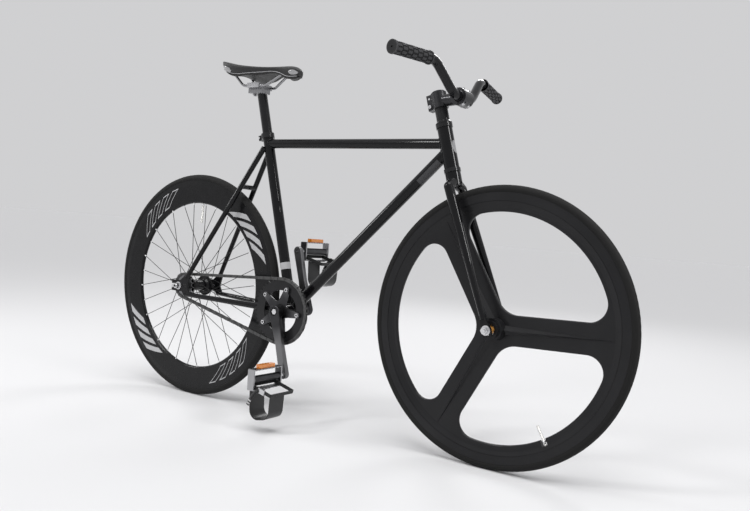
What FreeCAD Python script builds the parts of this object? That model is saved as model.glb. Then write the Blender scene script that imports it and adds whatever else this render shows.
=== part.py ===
import FreeCAD, Part
import math
import operator
import os
from types import SimpleNamespace

import Sketcher

# A fixed gear bike in millimetres and degrees.
# The origin lies on the ground under the middle of the wheelbase: +X forward, +Y left, +Z up.

# Counts
CHAINRING_TEETH = 44
COG_TEETH = 17
RING_HALF_LINKS = 12
COG_HALF_LINKS = 4
SPAN_LINKS = 30
SPOKES = 32
SPOKE_CROSSES = 3
WHEEL_ARMS = 3
SPIDER_ARMS = 5
SPACERS = 3
CAGE_TEETH = 9

# Driving dimensions
SIZES = (
    # Whole bike
    ("wheelbase", 1010),
    ("crank_drop", 32),
    ("seat_angle", 75.2),
    ("steer_angle", 73),
    ("fork_rake", 38),
    ("overrun", 2),
    ("running_clearance", 0.05),
    ("slip_clearance", 0.1),
    ("body_gap", 0.3),
    # Tyres and inner tubes
    ("tyre_radius", 334),
    ("tyre_width", 23),
    ("tyre_wall", 2.2),
    ("bead_depth", 7.8),
    ("bead_wall", 2.5),
    ("tube_wall", 1),
    ("valve_radius", 3),
    ("valve_length", 58),
    ("valve_angle", -59),
    ("rear_valve_angle", 86.875),
    # Rims
    ("rim_edge_radius", 317),
    ("rim_width", 19.6),
    ("hook_wall", 1.8),
    ("bead_seat_depth", 7.8),
    ("seat_width", 2.8),
    ("well_depth", 4),
    ("brake_track", 15),
    ("rim_depth", 68.5),
    ("nose_width", 12),
    ("nose_rise", 3.5),
    ("cavity_floor", 3),
    ("cavity_wall", 1.9),
    ("nose_wall", 6),
    # Moulded front wheel
    ("groove_drop", 19.5),
    ("groove_width", 1.6),
    ("groove_depth", 0.9),
    ("bevel_drop", 30),
    ("bevel_width", 13),
    ("rim_foot_drop", 36),
    ("web_thickness", 10),
    ("window_radius", 272),
    ("spoke_half_width", 36),
    ("window_rim_corner", 40),
    ("window_hub_corner", 58),
    ("window_rounding", 3.6),
    ("spoke_angle", 2),
    ("ridge_root_width", 34),
    ("ridge_root_height", 33),
    ("ridge_tip_width", 3),
    ("ridge_tip_height", 11),
    ("ridge_end_radius", 288),
    ("valve_notch_width", 14),
    ("valve_notch_reach", 287.5),
    ("front_barrel_radius", 27),
    ("front_barrel_width", 58),
    ("front_hub_end_radius", 21),
    ("front_hub_width", 72),
    ("front_bearing_radius", 13),
    ("front_bearing_width", 8),
    ("front_hub_bore_radius", 8),
    # Front axle
    ("front_axle_radius", 4.5),
    ("front_spacing", 100),
    ("front_axle_length", 142),
    ("locknut_radius", 8.5),
    ("nut_hex_radius", 8.66),
    ("nut_height", 10),
    ("washer_radius", 11.5),
    ("washer_height", 2),
    # Fork
    ("crown_seat_height", 383),
    ("crown_drop", 34),
    ("crown_boss_radius", 19),
    ("crown_shoulder_radius", 15),
    ("blade_spread", 66),
    ("blade_top_radius", 12),
    ("blade_tip_radius", 6.8),
    ("blade_socket", 24),
    ("blade_wall", 1.4),
    ("blade_tip_height", 26),
    ("fork_end_thickness", 5),
    ("fork_end_half_width", 13),
    ("fork_end_drop", 15),
    ("fork_end_neck", 10),
    ("fork_end_tang", 9),
    ("brake_bore_radius", 3.05),
    ("crown_bore_rise", 8),
    ("race_height", 3),
    ("race_radius", 18),
    # Steerer and headset
    ("steerer_radius", 14.3),
    ("steerer_wall", 1.6),
    ("steerer_foot_rise", 16),
    ("head_gap", 12),
    ("head_tube_length", 101),
    ("head_tube_radius", 18.4),
    ("head_tube_wall", 1.4),
    ("cup_radius", 20.3),
    ("cup_height", 9),
    ("cup_insert", 12),
    ("cup_wall", 1.6),
    ("headset_bearing_radius", 18.2),
    ("headset_bearing_height", 6.6),
    ("cover_height", 7.4),
    ("cover_top_radius", 16),
    ("spacer_stack", 32),
    ("spacer_radius", 15.8),
    ("top_cap_height", 3.2),
    ("top_cap_radius", 15.8),
    ("cap_bolt_radius", 3),
    ("cap_bolt_head_radius", 4.6),
    ("cap_bolt_length", 26),
    # Stem
    ("stem_height", 38),
    ("stem_clamp_radius", 19.4),
    ("stem_reach", 60),
    ("stem_bar_drop", 13),
    ("stem_neck_radius", 14.8),
    ("bar_clamp_radius", 20.6),
    ("bar_clamp_width", 43),
    ("clamp_slit", 2),
    ("stem_bolt_radius", 2.5),
    ("stem_bolt_head_radius", 4.2),
    ("stem_bolt_head_height", 4.5),
    ("face_bolt_offset", 16.7),
    ("face_bolt_spacing", 28),
    ("face_bolt_seat", 8),
    ("face_bolt_depth", 11),
    ("pinch_offset", 22.5),
    ("pinch_spacing", 20),
    ("pinch_ear_length", 29),
    ("pinch_ear_width", 20),
    # Handlebar and grips
    ("bar_clamp_bore_radius", 12.7),
    ("bar_radius", 11.1),
    ("bar_wall", 1.8),
    ("bar_sleeve_width", 56),
    ("bar_sleeve_taper", 9),
    ("bar_straight", 42),
    ("bar_rise", 62),
    ("bar_rise_back", 15),
    ("bar_rise_out", 71),
    ("bar_sweep_back", 20),
    ("bar_sweep_drop", 9),
    ("bar_half_width", 257),
    ("bar_low_bend", 62),
    ("bar_high_bend", 46),
    ("grip_length", 125),
    ("grip_radius", 13.6),
    ("grip_lip_radius", 16),
    ("grip_lip_height", 4),
    ("grip_end_radius", 15.2),
    ("grip_end_height", 4),
    # Frame tubes
    ("tube_steel_wall", 1.2),
    ("seat_tube_radius", 14.3),
    ("seat_tube_length", 502),
    ("seat_slot_width", 3),
    ("seat_slot_length", 34),
    ("top_tube_radius", 12.7),
    ("top_tube_height", 760),
    ("down_tube_radius", 14.3),
    ("down_tube_rise", 45),
    ("shell_radius", 20),
    ("shell_width", 68),
    ("shell_bore_radius", 17.4),
    ("chainstay_root_radius", 9.6),
    ("chainstay_tip_radius", 6.5),
    ("chainstay_root_spread", 46),
    ("chainstay_root_back", 8),
    ("chainstay_bridge_back", 31),
    ("seatstay_root_radius", 7.5),
    ("seatstay_tip_radius", 6.5),
    ("seatstay_root_height", 748),
    ("seatstay_root_spread", 25),
    ("seatstay_root_back", 8),
    ("bridge_radius", 7),
    ("bridge_tyre_gap", 18),
    # Rear track ends
    ("rear_spacing", 120),
    ("track_end_thickness", 6),
    ("track_end_back", 30),
    ("track_end_half_height", 16),
    ("track_slot_front", 13),
    ("chainstay_tang_front", 26),
    ("chainstay_tang_drop", 23),
    ("seatstay_tang_front", 30),
    ("seatstay_tang_rise", 26),
    ("tang_half_width", 8),
    ("tang_depth", 12),
    # Seat clamp, post and saddle
    ("collar_radius", 18.2),
    ("collar_height", 14),
    ("collar_ear_length", 28),
    ("collar_ear_width", 15),
    ("collar_bolt_offset", 22.5),
    ("collar_bolt_radius", 2.5),
    ("collar_bolt_head_radius", 4.2),
    ("collar_bolt_head_height", 4),
    ("seatpost_radius", 13.6),
    ("seatpost_wall", 2),
    ("seatpost_insert", 200),
    ("seatpost_reach", 624),
    ("post_setback", 10),
    ("post_head_length", 50),
    ("post_head_width", 34),
    ("post_head_height", 13),
    ("rail_radius", 3.5),
    ("rail_spread", 44),
    ("cradle_length", 44),
    ("cradle_width", 54),
    ("cradle_height", 5.8),
    ("cradle_top_height", 7.5),
    ("post_bolt_radius", 3),
    ("post_bolt_back", 16),
    ("post_bolt_head_radius", 5),
    ("post_bolt_head_height", 5),
    ("rail_bend", 18),
    ("rail_front_reach", 40),
    ("rail_front_spread", 40),
    ("rail_front_drop", 1),
    ("rail_nose_reach", 90),
    ("rail_nose_rise", 28),
    ("rail_nose_spread", 24),
    ("rail_rear_reach", 38),
    ("rail_rear_spread", 48),
    ("rail_end_reach", 64),
    ("rail_end_rise", 31),
    ("rail_end_spread", 68),
    ("saddle_length", 247),
    ("saddle_width", 138),
    ("saddle_nose_reach", 153),
    ("saddle_height", 45),
    ("saddle_crown", 6),
    ("saddle_dish", 8),
    ("saddle_bulge", 2.5),
    ("saddle_shell_thickness", 4),
    ("saddle_shell_margin", 5),
    # Bottom bracket and cranks
    ("cartridge_flange_radius", 19.4),
    ("cartridge_flange_width", 3),
    ("spindle_radius", 8.5),
    ("spindle_length", 132),
    ("spindle_square", 12.7),
    ("spindle_square_length", 16),
    ("crank_length", 170),
    ("crank_angle", -75),
    ("crank_inner", 58),
    ("crank_thickness", 14),
    ("crank_hub_radius", 17.5),
    ("crank_eye_radius", 13),
    ("crank_waist_half_width", 11),
    ("crank_boss_radius", 16),
    ("crank_boss_inner", 50),
    ("crank_recess_radius", 11),
    ("crank_rounding", 2.4),
    ("crank_bolt_radius", 4),
    ("crank_bolt_head_radius", 8),
    ("crank_bolt_head_height", 5),
    ("crank_bolt_length", 18),
    ("bolt_circle", 130),
    ("spider_hub_radius", 20),
    ("spider_tab_radius", 8),
    ("spider_thickness", 6),
    ("ring_bolt_radius", 4),
    ("ring_bolt_head_radius", 5.6),
    ("ring_bolt_head_height", 1.8),
    ("ring_inner_radius", 58),
    # Chain and sprockets
    ("chain_pitch", 12.7),
    ("chainline", 45),
    ("sprocket_thickness", 3),
    ("tooth_height", 3.6),
    ("tooth_tip_width", 2),
    ("seat_half_angle", 65),
    ("roller_radius", 3.875),
    ("chain_inner_width", 3.4),
    ("link_plate", 1),
    ("link_radius", 4.1),
    ("chain_pin_radius", 1.85),
    ("chain_pin_end", 0.5),
    # Rear hub
    ("rear_axle_radius", 5),
    ("rear_axle_length", 176),
    ("axle_tip_radius", 4.5),
    ("axle_tip_length", 10),
    ("rear_hub_width", 102),
    ("rear_hub_radius", 16),
    ("rear_hub_bore_radius", 9),
    ("flange_spacing", 68),
    ("flange_radius", 31),
    ("flange_thickness", 3.2),
    ("flange_hole_circle", 27),
    ("cog_seat_radius", 17.5),
    ("lockring_seat_radius", 16.2),
    ("lockring_radius", 21),
    ("lockring_height", 4),
    ("rear_bearing_radius", 13),
    ("rear_bearing_width", 8),
    ("rear_locknut_radius", 10),
    # Spokes and nipples
    ("spoke_radius", 0.9),
    ("spoke_head_radius", 1.7),
    ("spoke_head_height", 1),
    ("spoke_hole_radius", 1.2),
    ("nipple_radius", 2),
    ("nipple_head_radius", 2.8),
    ("nipple_head_height", 2),
    ("nipple_length", 11),
    ("nipple_rim_shift", 1.2),
    ("nipple_seat_gap", 0.5),
    # Pedals
    ("pedal_axle_radius", 4.2),
    ("pedal_collar_radius", 7),
    ("pedal_collar_length", 9),
    ("pedal_barrel_radius", 9.5),
    ("pedal_inner_gap", 13),
    ("pedal_width", 104),
    ("cage_half_length", 27),
    ("cage_height", 25),
    ("cage_plate", 2.6),
    ("cage_tooth_depth", 3.2),
    ("side_plate", 4),
    ("side_plate_half_height", 10.5),
    ("pedal_hang", 90),
    ("reflector_length", 54),
    ("reflector_height", 14),
    ("reflector_depth", 10),
    ("clip_thickness", 2),
    ("clip_width", 52),
    ("clip_offset", 14),
    ("clip_sole_drop", 4),
    ("clip_tab_height", 16),
    ("clip_reach", 107),
    ("clip_toe_radius", 24),
    ("clip_top_back", 30),
    ("clip_top_rise", 58),
    ("clip_bolt_spacing", 20),
    ("clip_bolt_radius", 2.5),
    ("clip_bolt_head_radius", 4.5),
    ("clip_bolt_head_height", 3),
    ("strap_width", 9),
    ("strap_thickness", 2),
    ("strap_corner", 4),
    ("strap_side_gap", 4),
    ("strap_foot_forward", 14.5),
    ("strap_foot_drop", 6),
    ("strap_lift", 2.4),
    ("buckle_length", 22),
    ("buckle_thickness", 4),
    ("buckle_rise", 30),
)

# Saddle sections from nose to tail: place, half width, lower edge, upper edge, domed top, hollow underside
SADDLE_SECTION_SHARES = (
    (0.0, 0.1, 0.6, 0.76, 0.4, 0.05),
    (0.03, 0.18, 0.46, 0.91, 0.7, 0.1),
    (0.1, 0.26, 0.42, 1.0, 1.0, 0.3),
    (0.17, 0.31, 0.47, 1.01, 1.0, 0.4),
    (0.24, 0.36, 0.66, 1.0, 1.0, 0.6),
    (0.32, 0.44, 0.75, 0.99, 1.0, 0.7),
    (0.46, 0.63, 0.66, 0.97, 1.0, 0.9),
    (0.6, 0.83, 0.6, 1.0, 1.0, 1.0),
    (0.74, 0.97, 0.5, 1.07, 1.0, 1.0),
    (0.88, 1.0, 0.65, 1.24, 0.8, 0.8),
    (0.96, 0.9, 0.87, 1.37, 0.6, 0.4),
    (1.0, 0.76, 1.04, 1.41, 0.4, 0.1),
)
SADDLE_TUCK_SHARE = 0.9

doc = FreeCAD.newDocument("FixedGearBike")
sheet = doc.addObject("Spreadsheet::Sheet", "Sizes")
for row, (alias, number) in enumerate(SIZES, start=1):
    sheet.set("A%d" % row, alias)
    sheet.set("B%d" % row, str(number))
    sheet.setAlias("B%d" % row, alias)
doc.recompute()

OPERATIONS = {"+": operator.add, "-": operator.sub, "*": operator.mul, "/": operator.truediv}


class Size:
    """A number that keeps the sheet expression it comes from."""

    def __init__(self, number, text):
        self.number = float(number)
        self.text = text

    def __float__(self):
        return self.number

    def __add__(self, other):
        return joined(self, "+", other)

    def __radd__(self, other):
        return joined(other, "+", self)

    def __sub__(self, other):
        return joined(self, "-", other)

    def __rsub__(self, other):
        return joined(other, "-", self)

    def __mul__(self, other):
        return joined(self, "*", other)

    def __rmul__(self, other):
        return joined(other, "*", self)

    def __truediv__(self, other):
        return joined(self, "/", other)

    def __neg__(self):
        return joined(0, "-", self)

    def root(self):
        return Size(math.sqrt(self.number), "sqrt(%s)" % self.text)


def sized(value):
    """Any number as a Size."""
    if isinstance(value, Size):
        return value
    return Size(value, repr(float(value)))


def joined(first, sign, second):
    first = sized(first)
    second = sized(second)
    number = OPERATIONS[sign](first.number, second.number)
    return Size(number, "(%s %s %s)" % (first.text, sign, second.text))


# S holds each size with its expression, N the same sizes as plain numbers.
S = SimpleNamespace(**{alias: Size(sheet.get(alias), "Sizes." + alias) for alias, number in SIZES})
N = SimpleNamespace(**{alias: float(sheet.get(alias)) for alias, number in SIZES})

FORWARD = FreeCAD.Vector(1, 0, 0)
LEFT = FreeCAD.Vector(0, 1, 0)
UP = FreeCAD.Vector(0, 0, 1)
ORIGIN = FreeCAD.Vector(0, 0, 0)
SIDES = (("left", 1), ("right", -1))
SIDE_PLANE = FreeCAD.Rotation(FORWARD, 90)
NO_TURN = FreeCAD.Rotation()
NODES = []


def vector(x, y, z):
    return FreeCAD.Vector(float(x), float(y), float(z))


def polar(centre, radius, angle, y=0):
    """The point at an angle in the side view, measured from forward towards up."""
    turn = math.radians(float(angle))
    return centre + vector(float(radius) * math.cos(turn), y, float(radius) * math.sin(turn))


def node(piece):
    """Keep a finished sub-part under its own name."""
    NODES.append(piece)
    return piece


def placed(piece, base, rotation=NO_TURN):
    piece.Placement = FreeCAD.Placement(base, rotation)
    return piece


# Primitives and booleans

def rod(name, radius, start, end):
    piece = doc.addObject("Part::Cylinder", name)
    piece.setExpression("Radius", sized(radius).text)
    piece.Height = (end - start).Length
    return placed(piece, start, FreeCAD.Rotation(UP, end - start))


def cone(name, first_radius, last_radius, start, end):
    piece = doc.addObject("Part::Cone", name)
    piece.setExpression("Radius1", sized(first_radius).text)
    piece.setExpression("Radius2", sized(last_radius).text)
    piece.Height = (end - start).Length
    return placed(piece, start, FreeCAD.Rotation(UP, end - start))


def ball(name, radius, centre):
    piece = doc.addObject("Part::Sphere", name)
    piece.setExpression("Radius", sized(radius).text)
    return placed(piece, centre)


def block(name, length, width, height, centre, rotation=NO_TURN):
    """A box about its centre, with its length along the turned X axis."""
    piece = doc.addObject("Part::Box", name)
    sides = [sized(side) for side in (length, width, height)]
    for prop, side in zip(("Length", "Width", "Height"), sides):
        piece.setExpression(prop, side.text)
    corner = vector(*[-float(side) / 2 for side in sides])
    return placed(piece, centre + rotation.multVec(corner), rotation)


def prism(name, sides, radius, start, end, roll=0):
    piece = doc.addObject("Part::Prism", name)
    piece.Polygon = sides
    piece.setExpression("Circumradius", sized(radius).text)
    piece.Height = (end - start).Length
    spin = FreeCAD.Rotation(UP, roll)
    return placed(piece, start, FreeCAD.Rotation(UP, end - start).multiply(spin))


def cut(name, base, *tools):
    """Take the tools away from the base one after another."""
    for number, tool in enumerate(tools, start=1):
        last = number == len(tools)
        piece = doc.addObject("Part::Cut", name if last else "%s_cut_%d" % (name, number))
        piece.Base = base
        piece.Tool = tool
        base = piece
    return base


def fused(name, *pieces):
    piece = doc.addObject("Part::MultiFuse", name)
    piece.Shapes = list(pieces)
    return piece


def group(name, *pieces):
    """Separate solids kept as one sub-part."""
    piece = doc.addObject("Part::Compound", name)
    piece.Links = list(pieces)
    return piece


def solid(name, shape, base=ORIGIN, rotation=NO_TURN):
    piece = doc.addObject("Part::Feature", name)
    piece.Shape = shape
    return placed(piece, base, rotation)


def tube(name, radius, bore, start, end):
    """A round tube between two points, open at both ends."""
    run = (end - start).normalize() * N.overrun
    outer = rod(name + "_outside", radius, start, end)
    inner = rod(name + "_inside", bore, start - run, end + run)
    return cut(name, outer, inner)


# Sketched bodies

def mirrored(points):
    """Close a half outline with its mirror image across the sketch's X axis."""
    half = [tuple(point) + (0,) * (3 - len(point)) for point in points]
    full = list(half)
    last = len(half) - 1
    if float(half[last][1]) == 0:
        full[last] = half[last][:2] + (half[last - 1][2],)
    for index in range(last, -1, -1):
        x, y = half[index][:2]
        if float(y) != 0:
            full.append((x, -sized(y), half[index - 1][2] if index else 0))
    return full


def arc_middle(start, end, bend):
    """The middle of an arc of signed radius: above zero it turns anticlockwise."""
    chord = end - start
    left = FreeCAD.Vector(-chord.y, chord.x, 0).normalize() * math.copysign(1, bend)
    offset = math.sqrt(bend * bend - chord.Length * chord.Length / 4)
    return (start + end) / 2 + left * (offset - abs(bend))


def draw_loop(sketch, points):
    """Draw one closed outline: each point is x, y and the bend of the edge that leaves it."""
    points = [tuple(point) + (0,) * (3 - len(point)) for point in points]
    spots = [FreeCAD.Vector(float(point[0]), float(point[1]), 0) for point in points]
    edges = []
    for index, (x, y, bend) in enumerate(points):
        start = spots[index]
        end = spots[(index + 1) % len(points)]
        if float(bend) == 0:
            edge = sketch.addGeometry(Part.LineSegment(start, end), False)
        else:
            edge = sketch.addGeometry(Part.Arc(start, arc_middle(start, end, float(bend)), end), False)
        from_first = sketch.getPoint(edge, 1).distanceToPoint(start)
        forward = from_first < sketch.getPoint(edge, 2).distanceToPoint(start)
        edges.append((edge, 1, 2) if forward else (edge, 2, 1))
    for index, (x, y, bend) in enumerate(points):
        edge, start_end, far_end = edges[index]
        next_edge, next_start = edges[(index + 1) % len(points)][:2]
        sketch.addConstraint(Sketcher.Constraint("Coincident", edge, far_end, next_edge, next_start))
        for kind, value in (("DistanceX", sized(x)), ("DistanceY", sized(y))):
            row = sketch.addConstraint(Sketcher.Constraint(kind, -1, 1, edge, start_end, value.number))
            sketch.setExpression("Constraints[%d]" % row, value.text)
        if float(bend) != 0:
            radius = sized(bend) if float(bend) > 0 else -sized(bend)
            row = sketch.addConstraint(Sketcher.Constraint("Radius", edge, radius.number))
            sketch.setExpression("Constraints[%d]" % row, radius.text)


def sketched(name, loops):
    body = doc.addObject("PartDesign::Body", name)
    sketch = body.newObject("Sketcher::SketchObject", name + "_outline")
    plane = [part for part in body.Origin.OriginFeatures if part.Role == "XY_Plane"][0]
    sketch.AttachmentSupport = [(plane, "")]
    sketch.MapMode = "FlatFace"
    for loop in loops:
        draw_loop(sketch, loop)
    return body, sketch


def turned(name, *loops):
    """A body turned about its own Y axis from outlines of radius and height."""
    body, sketch = sketched(name, loops)
    turn = body.newObject("PartDesign::Revolution", name + "_turn")
    turn.Profile = sketch
    turn.ReferenceAxis = (sketch, ["V_Axis"])
    turn.Angle = 360
    return body


def padded(name, thickness, *loops):
    """A plate as thick as asked, raised from its outline along its own Z axis."""
    body, sketch = sketched(name, loops)
    pad = body.newObject("PartDesign::Pad", name + "_pad")
    pad.Profile = sketch
    pad.setExpression("Length", sized(thickness).text)
    return body


def rectangle(inner, outer, low, high):
    return ((inner, low), (outer, low), (outer, high), (inner, high))


# Places that the pieces share

def pitch_radius(teeth):
    return N.chain_pitch / (2 * math.sin(math.pi / teeth))


def axle_to_crank():
    """The distance at which the chain closes on whole links."""
    ring_wrap = 2 * math.pi * RING_HALF_LINKS / CHAINRING_TEETH
    cog_wrap = 2 * math.pi * COG_HALF_LINKS / COG_TEETH
    rise = RING_PITCH * math.sin(ring_wrap) - COG_PITCH * math.sin(cog_wrap)
    run = math.sqrt((SPAN_LINKS * N.chain_pitch) ** 2 - rise ** 2)
    return run - RING_PITCH * math.cos(ring_wrap) - COG_PITCH * math.cos(cog_wrap)


RING_PITCH = pitch_radius(CHAINRING_TEETH)
COG_PITCH = pitch_radius(COG_TEETH)
STAY_LENGTH = axle_to_crank()
DRIVE_ANGLE = -math.degrees(math.asin(N.crank_drop / STAY_LENGTH))
REAR = vector(-N.wheelbase / 2, 0, N.tyre_radius)
FRONT = vector(N.wheelbase / 2, 0, N.tyre_radius)
CRANK = polar(REAR, STAY_LENGTH, DRIVE_ANGLE)
SEAT_AXIS = polar(ORIGIN, 1, 180 - N.seat_angle)
STEER_AXIS = polar(ORIGIN, 1, 180 - N.steer_angle)
STEER_FRONT = polar(ORIGIN, 1, 90 - N.steer_angle)
STEER_FOOT = FRONT - STEER_FRONT * N.fork_rake
STEER_TURN = FreeCAD.Rotation(LEFT, STEER_AXIS)
HEAD_LOW = N.crown_seat_height + N.head_gap
HEAD_HIGH = HEAD_LOW + N.head_tube_length
COVER_LOW = HEAD_HIGH + N.cup_height + N.body_gap
SPACER_LOW = COVER_LOW + N.cover_height
STEM_LOW = SPACER_LOW + N.spacer_stack
STEM_HIGH = STEM_LOW + N.stem_height


def on_steer(distance, front=0, y=0):
    """A point on the steering axis, or ahead of it, measured from beside the front axle."""
    return STEER_FOOT + STEER_AXIS * float(distance) + STEER_FRONT * float(front) + LEFT * float(y)


def on_seat(distance, y=0):
    return CRANK + SEAT_AXIS * float(distance) + LEFT * float(y)


def seat_distance(height):
    return (float(height) - CRANK.z) / SEAT_AXIS.z


def steer_distance(height):
    return (float(height) - STEER_FOOT.z) / STEER_AXIS.z


# Frame

def build_frame():
    head_solid = rod("head_core", S.head_tube_radius, on_steer(HEAD_LOW), on_steer(HEAD_HIGH))
    half_shell = vector(0, N.shell_width / 2, 0)
    shell_solid = rod("shell_core", S.shell_radius, CRANK - half_shell, CRANK + half_shell)
    seat_top = on_seat(N.seat_tube_length)
    seat_solid = rod("seat_core", S.seat_tube_radius, CRANK, seat_top)
    top_rear = on_seat(seat_distance(N.top_tube_height))
    top_front = on_steer(steer_distance(N.top_tube_height))
    top_solid = rod("top_core", S.top_tube_radius, top_rear, top_front)
    down_front = on_steer(HEAD_LOW + N.down_tube_rise)

    node(tube("head_tube", S.head_tube_radius, S.head_tube_radius - S.head_tube_wall,
              on_steer(HEAD_LOW), on_steer(HEAD_HIGH)))
    top = tube("top_pipe", S.top_tube_radius, S.top_tube_radius - S.tube_steel_wall, top_rear, top_front)
    node(cut("top_tube", top, seat_solid, head_solid))
    down = tube("down_pipe", S.down_tube_radius, S.down_tube_radius - S.tube_steel_wall, CRANK, down_front)
    node(cut("down_tube", down, head_solid, top_solid, shell_solid, seat_solid))
    seat = tube("seat_pipe", S.seat_tube_radius, S.seatpost_radius + S.running_clearance, CRANK, seat_top)
    back = FreeCAD.Rotation(UP, SEAT_AXIS).multVec(-FORWARD)
    slot_reach = N.seat_tube_length - N.seat_slot_length / 2 + N.overrun / 2
    slot_middle = on_seat(slot_reach) + back * N.seat_tube_radius
    slot = block("seat_slot", S.seat_tube_radius, S.seat_slot_width, S.seat_slot_length + S.overrun,
                 slot_middle, FreeCAD.Rotation(UP, SEAT_AXIS))
    node(cut("seat_tube", seat, shell_solid, slot))
    node(tube("bottom_bracket_shell", S.shell_radius, S.shell_bore_radius,
              CRANK - half_shell, CRANK + half_shell))
    plates = [track_end(name, side) for name, side in SIDES]
    build_stays(shell_solid, seat_solid, plates)
    node(group("rear_dropouts", *plates))


def track_end(name, side):
    """A rear-facing track end: an axle slot open to the rear, with a tang for each stay."""
    slot = S.rear_axle_radius + S.slip_clearance
    turn = S.track_slot_front - slot
    seat_front = S.seatstay_tang_front + S.tang_half_width
    chain_front = S.chainstay_tang_front + S.tang_half_width
    outline = (
        (turn, slot, -slot),
        (turn + slot, 0, -slot),
        (turn, -slot),
        (-S.track_end_back, -slot),
        (-S.track_end_back, -S.track_end_half_height),
        (S.chainstay_tang_front - S.tang_depth, -S.track_end_half_height),
        (S.chainstay_tang_front, -S.chainstay_tang_drop - S.tang_half_width),
        (chain_front + S.tang_depth, -S.chainstay_tang_drop),
        (chain_front, 0),
        (seat_front + S.tang_depth / 2, S.seatstay_tang_rise + S.tang_half_width),
        (S.seatstay_tang_front, S.seatstay_tang_rise + S.tang_depth),
        (S.track_slot_front - S.tang_half_width, S.track_end_half_height),
        (-S.track_end_back, S.track_end_half_height),
        (-S.track_end_back, slot),
    )
    plate = padded(name + "_track_end", S.track_end_thickness, outline)
    outside = side * N.rear_spacing / 2
    if side > 0:
        outside += N.track_end_thickness
    return placed(plate, REAR + vector(0, outside, 0), SIDE_PLANE)


def stay(name, root_radius, tip_radius, start, end, cutters):
    """A tapered tube; its solid core is returned too, for trimming what meets it."""
    run = (end - start).normalize() * N.overrun
    outside = cone(name + "_outside", root_radius, tip_radius, start, end)
    inside = cone(name + "_inside", root_radius - S.tube_steel_wall, tip_radius - S.tube_steel_wall,
                  start - run, end + run)
    return cut(name, outside, inside, *cutters), outside


def build_stays(shell_solid, seat_solid, plates):
    plate_middle = N.rear_spacing / 2 + N.track_end_thickness / 2
    chain_pieces = []
    chain_cores = []
    seat_pieces = []
    seat_cores = []
    for (name, side), plate in zip(SIDES, plates):
        root = CRANK + vector(-N.chainstay_root_back, side * N.chainstay_root_spread / 2, 0)
        tip = REAR + vector(N.chainstay_tang_front, side * plate_middle, -N.chainstay_tang_drop)
        pipe, core = stay(name + "_chainstay", S.chainstay_root_radius, S.chainstay_tip_radius, root, tip,
                          (shell_solid, seat_solid, plate))
        chain_pieces.append(pipe)
        chain_cores.append(core)
        root = on_seat(seat_distance(N.seatstay_root_height), side * N.seatstay_root_spread / 2)
        root = root - FORWARD * N.seatstay_root_back
        tip = REAR + vector(N.seatstay_tang_front, side * plate_middle, N.seatstay_tang_rise)
        pipe, core = stay(name + "_seatstay", S.seatstay_root_radius, S.seatstay_tip_radius, root, tip,
                          (seat_solid, plate))
        seat_pieces.append(pipe)
        seat_cores.append(core)
    back = CRANK - FORWARD * N.chainstay_bridge_back
    half = vector(0, N.chainstay_root_spread / 2 + N.chainstay_tip_radius, 0)
    low_bridge = rod("chainstay_bridge_rod", S.chainstay_tip_radius, back - half, back + half)
    node(group("chainstays", *chain_pieces, cut("chainstay_bridge", low_bridge, *chain_cores)))
    middle, across = seatstay_bridge()
    half = vector(0, bridge_half_width(middle), 0)
    bridge = rod("seatstay_bridge_rod", S.bridge_radius, middle - half, middle + half)
    reach = across * (N.bridge_radius + N.overrun)
    bore = rod("seatstay_bridge_bore", S.brake_bore_radius, middle - reach, middle + reach)
    node(group("seatstays", *seat_pieces, cut("seatstay_bridge", bridge, bore, *seat_cores)))


def seatstay_line():
    root = on_seat(seat_distance(N.seatstay_root_height)) - FORWARD * N.seatstay_root_back
    tip = REAR + vector(N.seatstay_tang_front, 0, N.seatstay_tang_rise)
    return root, tip


def seatstay_bridge():
    """The bridge's middle, clear of the tyre, and the direction straight through it."""
    root, tip = seatstay_line()
    line = (root - tip).normalize()
    offset = (REAR - tip).dot(line)
    foot = tip + line * offset
    reach = N.tyre_radius + N.bridge_tyre_gap + N.bridge_radius
    middle = foot + line * math.sqrt(reach ** 2 - (REAR - foot).Length ** 2)
    return middle, vector(-line.z, 0, line.x)


def bridge_half_width(middle):
    root, tip = seatstay_line()
    share = (middle - tip).Length / (root - tip).Length
    low_half = N.rear_spacing / 2 + N.track_end_thickness / 2
    return low_half + (N.seatstay_root_spread / 2 - low_half) * share


def cup(name, base, upward):
    """A headset cup with a bearing pocket at its outer end and a sleeve for the head tube."""
    pocket = S.headset_bearing_radius + S.running_clearance
    sleeve = S.head_tube_radius - S.head_tube_wall - S.running_clearance
    floor = S.cup_height - S.headset_bearing_height - S.running_clearance
    outline = (
        (sleeve - S.cup_wall, -S.cup_insert),
        (sleeve, -S.cup_insert),
        (sleeve, 0),
        (S.cup_radius, 0),
        (S.cup_radius, S.cup_height),
        (pocket, S.cup_height),
        (pocket, floor),
        (sleeve - S.cup_wall, floor),
    )
    body = turned(name + "_cup", outline)
    bearing = turned(name + "_headset_bearing", rectangle(
        S.steerer_radius + S.running_clearance, S.headset_bearing_radius,
        floor + S.running_clearance, S.cup_height))
    turn = FreeCAD.Rotation(LEFT, STEER_AXIS * upward)
    return placed(body, base, turn), placed(bearing, base, turn)


def build_headset():
    upper = cup("upper", on_steer(HEAD_HIGH), 1)
    lower = cup("lower", on_steer(HEAD_LOW), -1)
    node(group("headset", *upper, *lower))


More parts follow.
